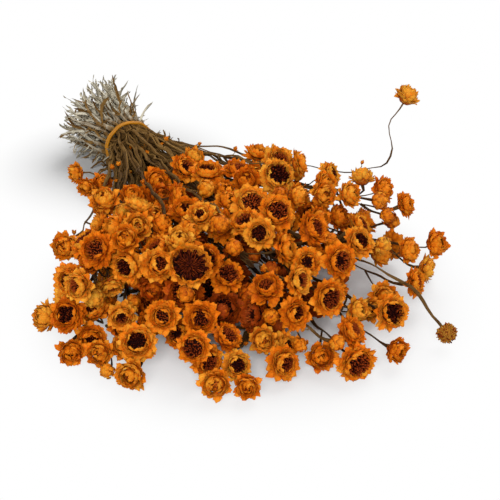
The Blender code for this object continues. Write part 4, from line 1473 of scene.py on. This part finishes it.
class BlossomSettings(bpy.types.PropertyGroup):
    """Sizes of the flower heads."""

    crinkle: length("Crinkle", "How crumpled the tips of the bracts are", 0.0020)
    fullness: share_of(
        "Fullness", "Size of a head with its loose bracts, as a share of its solid", 1.07, min=0.5)
    shut_share: share_of(
        "Drawn in", "How far the least open of the open flowers are drawn together", 0.26, max=0.9)
    # Painted shade: how much darker the flowers inside the heap are coloured.
    heap_shade_strength: share_of(
        "Shaded", "How much deeper the dye is on the flowers inside the heap", 1.0, max=1.0)
    hollow_share: share_of(
        "Hollow discs", "Share of the open flowers with a sunken disc", 0.45, max=1.0)


class BandSettings(bpy.types.PropertyGroup):
    """Sizes of the rubber band."""

    strand: length("Strand radius", "Half width of one turn of the band", 0.00125)
    gap: length("Turn distance", "Distance between its two turns", 0.0027)


class BunchColours(bpy.types.PropertyGroup):
    """Colours of the bunch."""

    dye: colour_property("Dye", "Colour of the dyed bracts", (0.95, 0.245, 0.005))
    dye_pale: colour_property("Pale dye", "Where the dye took least", (1.0, 0.495, 0.045))
    # The low end of the bracts' tone: random dye tone, and painted shade at the feet of the bracts
    # and on the flowers deep in the heap.
    dye_deep_and_shade: colour_property("Deep dye", "Where the dye gathered", (0.50, 0.074, 0.0015))
    # Painted shade colour, for the feet of the bracts under their neighbours and for the flowers
    # deep in the heap.
    painted_shade_dye: colour_property(
        "Shut dye", "Foot of a bract, under its neighbours", (0.15, 0.016, 0.001))
    dye_edge: colour_property(
        "Bract edges", "Worn edges and tips of the bracts", (0.60, 0.100, 0.003))
    disc_dark: colour_property(
        "Shut florets", "Florets in the middle of a disc", (0.055, 0.006, 0.002))
    disc_light: colour_property("Open florets", "Florets round a disc", (0.35, 0.054, 0.008))
    spent: colour_property("Spent florets", "Florets of a spent flower", (0.45, 0.20, 0.024))
    stem: colour_property("Stalk", "Colour of the stalks", (0.190, 0.098, 0.026))
    stem_dark: colour_property("Dark stalk", "Shaded fibres of the stalks", (0.040, 0.016, 0.005))
    stem_pale: colour_property("Pale stalk", "Worn edges of the stalks", (0.36, 0.205, 0.060))
    wool: colour_property("Wool", "Wool on leaves and stem feet", (0.70, 0.65, 0.515))
    wool_dark: colour_property("Dark wool", "Folds of the wool", (0.21, 0.170, 0.106))
    rubber: colour_property("Rubber", "Colour of the band", (0.52, 0.205, 0.004))


class StageSettings(bpy.types.PropertyGroup):
    """Floor, light and camera."""

    lens: FloatProperty(name="Lens", description="Focal length of the camera in millimetres",
                        default=70.0)
    distance: length("Distance", "From the camera to the heap of flowers", 0.694)
    azimuth: FloatProperty(name="Azimuth", description="Direction that the camera stands in",
                           default=math.radians(-27), unit="ROTATION")
    elevation: FloatProperty(name="Elevation", description="How far above the table it looks from",
                             default=math.radians(30), unit="ROTATION")
    floor_colour: colour_property("Floor", "Colour of the floor", (0.76, 0.76, 0.76))
    floor_bounce: share_of(
        "Bounce", "Share of the light that the floor throws back at the bunch", 0.36)


# ---- Operators -----------------------------------------------------------------------------


class BUNCH_OT_stalks(bpy.types.Operator):
    """Lay the winged stalks, with their woolly leaves"""

    bl_idname = "bunch.stalks"
    bl_label = "Stalks and Leaves"

    def execute(self, context):
        plan, scene = bunch_plan(), context.scene
        sizes, leaf = scene.bunch_stalks, scene.bunch_leaves
        follow, scatter, forms = follow_tree(), scatter_tree(), template_collection()
        finish = finish_of("dried_stem")
        for number in range(len(plan["stems"])):
            rng = seeded(STALK_SEED, number)
            lines, leaves, unused = Lines(), Places(), Places()
            way = lay_stem(lines, plan, number, rng, sizes)
            lay_shoots(lines, way, plan, number, rng, sizes)
            add_leaves(leaves, way, plan, rng, leaf)
            add_small_buds(lines, unused, way, plan, seeded(BUD_SEED, number), sizes)
            stalks = grown_mesh("stalks", lines.mesh("lines"), follow, {
                "Corners": STALK_CORNERS, "Wing width": sizes.wing, "Thickness": sizes.thickness,
                "Raggedness": sizes.raggedness, "Seed": number * STALK_NOISE, "Finish": finish})
            foliage = grown_mesh("foliage", leaves.mesh("places"), scatter, {
                "Forms": forms, "Crinkle": leaf.crinkle, "Crinkle scale": LEAF_CRINKLE_SCALE,
                "Seed": number * LEAF_NOISE, "Finish": finish})
            name = f"stalk_{number + 1:02d}"
            mesh = joined_mesh(name, (stalks, foliage), finish)
            show(name, mesh, "dried_stem", node_name(number))
        clear_templates(forms)
        return {"FINISHED"}


class BUNCH_OT_bracts(bpy.types.Operator):
    """Open the papery bracts of every flower head and tiny bud"""

    bl_idname = "bunch.bracts"
    bl_label = "Papery Bracts"

    def execute(self, context):
        grow_blossoms(context.scene, "bracts", "dyed_flower", context.scene.bunch_blossoms.crinkle)
        return {"FINISHED"}


class BUNCH_OT_florets(bpy.types.Operator):
    """Set the florets in the discs of the flower heads"""

    bl_idname = "bunch.florets"
    bl_label = "Disc Florets"

    def execute(self, context):
        grow_blossoms(context.scene, "florets", "seed_disc", FLORET_CRINKLE)
        return {"FINISHED"}


def grow_blossoms(scene, what, slot, crinkle):
    """Makes the bracts or the florets of every stem. Both are placed, so that they fit."""
    plan, scatter, forms = bunch_plan(), scatter_tree(), template_collection()
    for number in range(len(plan["stems"])):
        rng = seeded(HEAD_SEED, number)
        made = {"bracts": Places(), "florets": Places()}
        for head in heads_of(plan, number):
            dress_head(made["bracts"], made["florets"], head, rng, scene.bunch_blossoms)
        if what == "bracts":
            unused, sizes = Lines(), scene.bunch_stalks
            way = lay_stem(unused, plan, number, seeded(STALK_SEED, number), sizes)
            add_small_buds(unused, made["bracts"], way, plan, seeded(BUD_SEED, number), sizes)
        if not made[what].rows:
            continue
        name = f"{what}_{number + 1:02d}"
        mesh = grown_mesh(name, made[what].mesh("places"), scatter, {
            "Forms": forms, "Crinkle": crinkle, "Crinkle scale": HEAD_CRINKLE_SCALE,
            "Seed": number * HEAD_NOISE, "Finish": finish_of(slot)})
        show(name, mesh, slot, node_name(number))
    clear_templates(forms)


BAND_POINTS = 150  # along the two turns
CROSSING = 0.16  # how far round, in radians, the strand takes to swap sides
CROSSING_LIFT = 0.0011  # where one turn lies over the other
BAND_CLEAR = 0.0001  # more room than the frame's band leaves round the bundle
BAND_CORNERS = 10  # round its section
# How uneven it is, outwards and across: (size, waves in a turn, phase).
BAND_BULGES = ((0.00022, 7, 1), (0.00015, 13, 0))
BAND_SWAYS = ((0.00025, 2.5, 0.4),)


def waves(turn, terms):
    return sum(size * np.sin(times * turn + phase) for size, times, phase in terms)


class BUNCH_OT_band(bpy.types.Operator):
    """Wind the rubber band round the bundle in two turns"""

    bl_idname = "bunch.band"
    bl_label = "Rubber Band"

    def execute(self, context):
        sizes, tie = context.scene.bunch_band, bunch_plan()["tie"]
        once, twice = 2 * math.pi, 4 * math.pi
        turn = np.arange(BAND_POINTS) * twice / BAND_POINTS
        from_crossing = np.minimum(np.minimum(turn, twice - turn), np.abs(turn - once))
        swap = np.tanh(from_crossing / CROSSING)
        across = np.where(turn < once, 1, -1) * swap * sizes.gap / 2
        lift = (1 - swap) * np.where((turn > math.pi) & (turn < 3 * math.pi), CROSSING_LIFT, 0.0)
        inside = BUNDLE_RADIUS + STEM_RADIUS + BAND_ROOM + BAND_CLEAR
        radius = inside + lift + waves(turn, BAND_BULGES)
        across = across + waves(turn, BAND_SWAYS)
        ring = np.stack([radius * np.cos(turn), across, radius * np.sin(turn)], 1) + tie
        edges = [(k, (k + 1) % BAND_POINTS) for k in range(BAND_POINTS)]
        none = np.zeros(BAND_POINTS)
        mesh = marked_mesh("ring", ring, edges, [], {
            "girth": none + sizes.strand, "turn": none, "shade": none, "wool": none,
            "run": turn / twice})
        made = grown_mesh("rubber_band_turns", mesh, follow_tree(), {
            "Corners": BAND_CORNERS, "Wing width": 1.0, "Thickness": 0.72, "Raggedness": 0.0,
            "Finish": finish_of("rubber")})
        show("rubber_band_turns", made, "rubber", "rubber_band")
        return {"FINISHED"}


class BUNCH_OT_stage(bpy.types.Operator):
    """Set the floor, the lamps and the camera"""

    bl_idname = "bunch.stage"
    bl_label = "Stage"

    def execute(self, context):
        scene, settings = context.scene, context.scene.bunch_stage
        lay_floor(scene, settings)
        light_up(scene)
        set_camera(scene, settings)
        scene.view_settings.view_transform = "Standard"
        return {"FINISHED"}


def joined_mesh(name, parts, finish):
    """One mesh out of several, with their stored numbers and their keen edges."""
    whole = bmesh.new()
    for part in parts:
        whole.from_mesh(part)
        bpy.data.meshes.remove(part)
    mesh = bpy.data.meshes.new(name)
    whole.to_mesh(mesh)
    whole.free()
    mesh.materials.append(finish)
    return mesh


FLOOR_HALF = 40.0
# Where the floor keeps its shadow: (middle, radius that is all shadow, radius past which the
# floor is white). One lies under the heap and one under the cut ends.
SHADOWED = (((0.0, -0.105, 0.0), 0.065, 0.18), ((-0.01, 0.15, 0.0), 0.03, 0.13))
WORLD_LIGHT = 0.095  # of the white world, as a light
# The lamps: (name, place, size, watts), all aimed at the same spot.
LAMPS = (("key_lamp", (0.85, 0.50, 1.30), 1.1, 17.5),
         ("front_lamp", (-0.75, -1.30, 0.95), 0.9, 26.5))
LAMP_AIM = (0.0, -0.06, 0.03)
LOOK_AT = (0.0, -0.2402, 0.043)  # from the table under the band
SENSOR_WIDTH = 36.0


def white_to_the_eye(tree):
    """1 for what the camera, a gloss or a glass sees, and 0 for what lights the object."""
    path = add_node(tree, "ShaderNodeLightPath").outputs
    seen = calc(tree, "MAXIMUM", path["Is Camera Ray"], path["Is Glossy Ray"])
    return calc(tree, "MAXIMUM", seen, path["Is Transmission Ray"])


def lay_floor(scene, settings):
    """A large pale floor. The eye sees it lifted towards white, with the bunch's shadow on it."""
    mesh = bpy.data.meshes.new("floor")
    corners = [(x * FLOOR_HALF, y * FLOOR_HALF, 0) for x, y in ((-1, -1), (1, -1), (1, 1), (-1, 1))]
    mesh.from_pydata(corners, [], [(0, 1, 2, 3)])
    floor = bpy.data.objects.new("floor", mesh)
    scene.collection.objects.link(floor)
    material, tree = new_material("floor")
    mesh.materials.append(material)
    tree.nodes.remove(tree.nodes["Principled BSDF"])
    out = tree.nodes["Material Output"]
    seen = white_to_the_eye(tree)
    pale = mix_colours(tree, seen, [settings.floor_bounce] * 3, settings.floor_colour)
    matt = add_node(tree, "ShaderNodeBsdfDiffuse", {"Color": pale})
    glow = add_node(tree, "ShaderNodeEmission", {"Color": (1, 1, 1, 1), "Strength": 1.0})
    place = add_node(tree, "ShaderNodeTexCoord").outputs["Object"]
    away = 1.0
    for centre, near, far in SHADOWED:
        distance = add_node(tree, "ShaderNodeVectorMath", {0: place, 1: centre},
                            operation="DISTANCE").outputs["Value"]
        clear = add_node(tree, "ShaderNodeMapRange", {0: distance, 1: near, 2: far},
                         interpolation_type="SMOOTHSTEP").outputs[0]
        away = calc(tree, "MULTIPLY", clear, away)
    lift = calc(tree, "MULTIPLY", seen, away)
    mixed = add_node(tree, "ShaderNodeMixShader", {0: lift, 1: matt.outputs[0], 2: glow.outputs[0]})
    tree.links.new(mixed.outputs[0], out.inputs["Surface"])


def light_up(scene):
    """A plain white world, a wide soft lamp above and behind, and a soft one in front."""
    world = bpy.data.worlds.new("studio")
    world.use_nodes = True
    scene.world = world
    tree = world.node_tree
    back = tree.nodes["Background"]
    back.inputs["Color"].default_value = (1, 1, 1, 1)
    strength = calc(tree, "MULTIPLY_ADD", white_to_the_eye(tree), 1 - WORLD_LIGHT, WORLD_LIGHT)
    tree.links.new(strength, back.inputs["Strength"])
    for name, place, size, power in LAMPS:
        data = bpy.data.lights.new(name, "AREA")
        data.size, data.energy = size, power
        lamp = bpy.data.objects.new(name, data)
        lamp.location = place
        aim = Vector(LAMP_AIM) - Vector(place)
        lamp.rotation_euler = aim.to_track_quat("-Z", "Y").to_euler()
        scene.collection.objects.link(lamp)


def set_camera(scene, settings):
    """The camera, turned towards the heap."""
    data = bpy.data.cameras.new("camera")
    data.lens, data.sensor_width = settings.lens, SENSOR_WIDTH
    camera = bpy.data.objects.new("camera", data)
    shift = bunch_plan()["tie"] - (0, 0, TIE_HEIGHT)
    target = Vector(shift + LOOK_AT)
    level = math.cos(settings.elevation)
    back = Vector((math.sin(settings.azimuth) * level, -math.cos(settings.azimuth) * level,
                   math.sin(settings.elevation)))
    camera.location = target + settings.distance * back
    camera.rotation_euler = back.to_track_quat("Z", "Y").to_euler()
    scene.collection.objects.link(camera)
    scene.camera = camera


class BUNCH_PT_panel(bpy.types.Panel):
    """Everything that makes up the bunch."""

    bl_idname = "BUNCH_PT_panel"
    bl_label = "Dried Everlasting Bunch"
    bl_space_type = "VIEW_3D"
    bl_region_type = "UI"
    bl_category = "Bunch"

    def draw(self, context):
        for label, _ in SETTINGS:
            box = self.layout.box()
            group = getattr(context.scene, label)
            box.label(text=group.bl_rna.description)
            for item in group.bl_rna.properties:
                if item.identifier not in ("rna_type", "name"):
                    box.prop(group, item.identifier)
        for operator in OPERATORS:
            self.layout.operator(operator.bl_idname)


SETTINGS = (("bunch_stalks", StalkSettings), ("bunch_leaves", LeafSettings),
            ("bunch_blossoms", BlossomSettings), ("bunch_band", BandSettings),
            ("bunch_colours", BunchColours), ("bunch_stage", StageSettings))
OPERATORS = (BUNCH_OT_stalks, BUNCH_OT_bracts, BUNCH_OT_florets, BUNCH_OT_band, BUNCH_OT_stage)
CLASSES = tuple(group for _, group in SETTINGS) + OPERATORS + (BUNCH_PT_panel,)


def register():
    for cls in CLASSES:
        bpy.utils.register_class(cls)
    for label, group in SETTINGS:
        setattr(bpy.types.Scene, label, PointerProperty(type=group))


def unregister():
    for label, _ in SETTINGS:
        delattr(bpy.types.Scene, label)
    for cls in reversed(CLASSES):
        bpy.utils.unregister_class(cls)


def main():
    register()
    for operator in OPERATORS:
        group, name = operator.bl_idname.split(".")
        getattr(getattr(bpy.ops, group), name)()


if __name__ == "__main__":
    main()
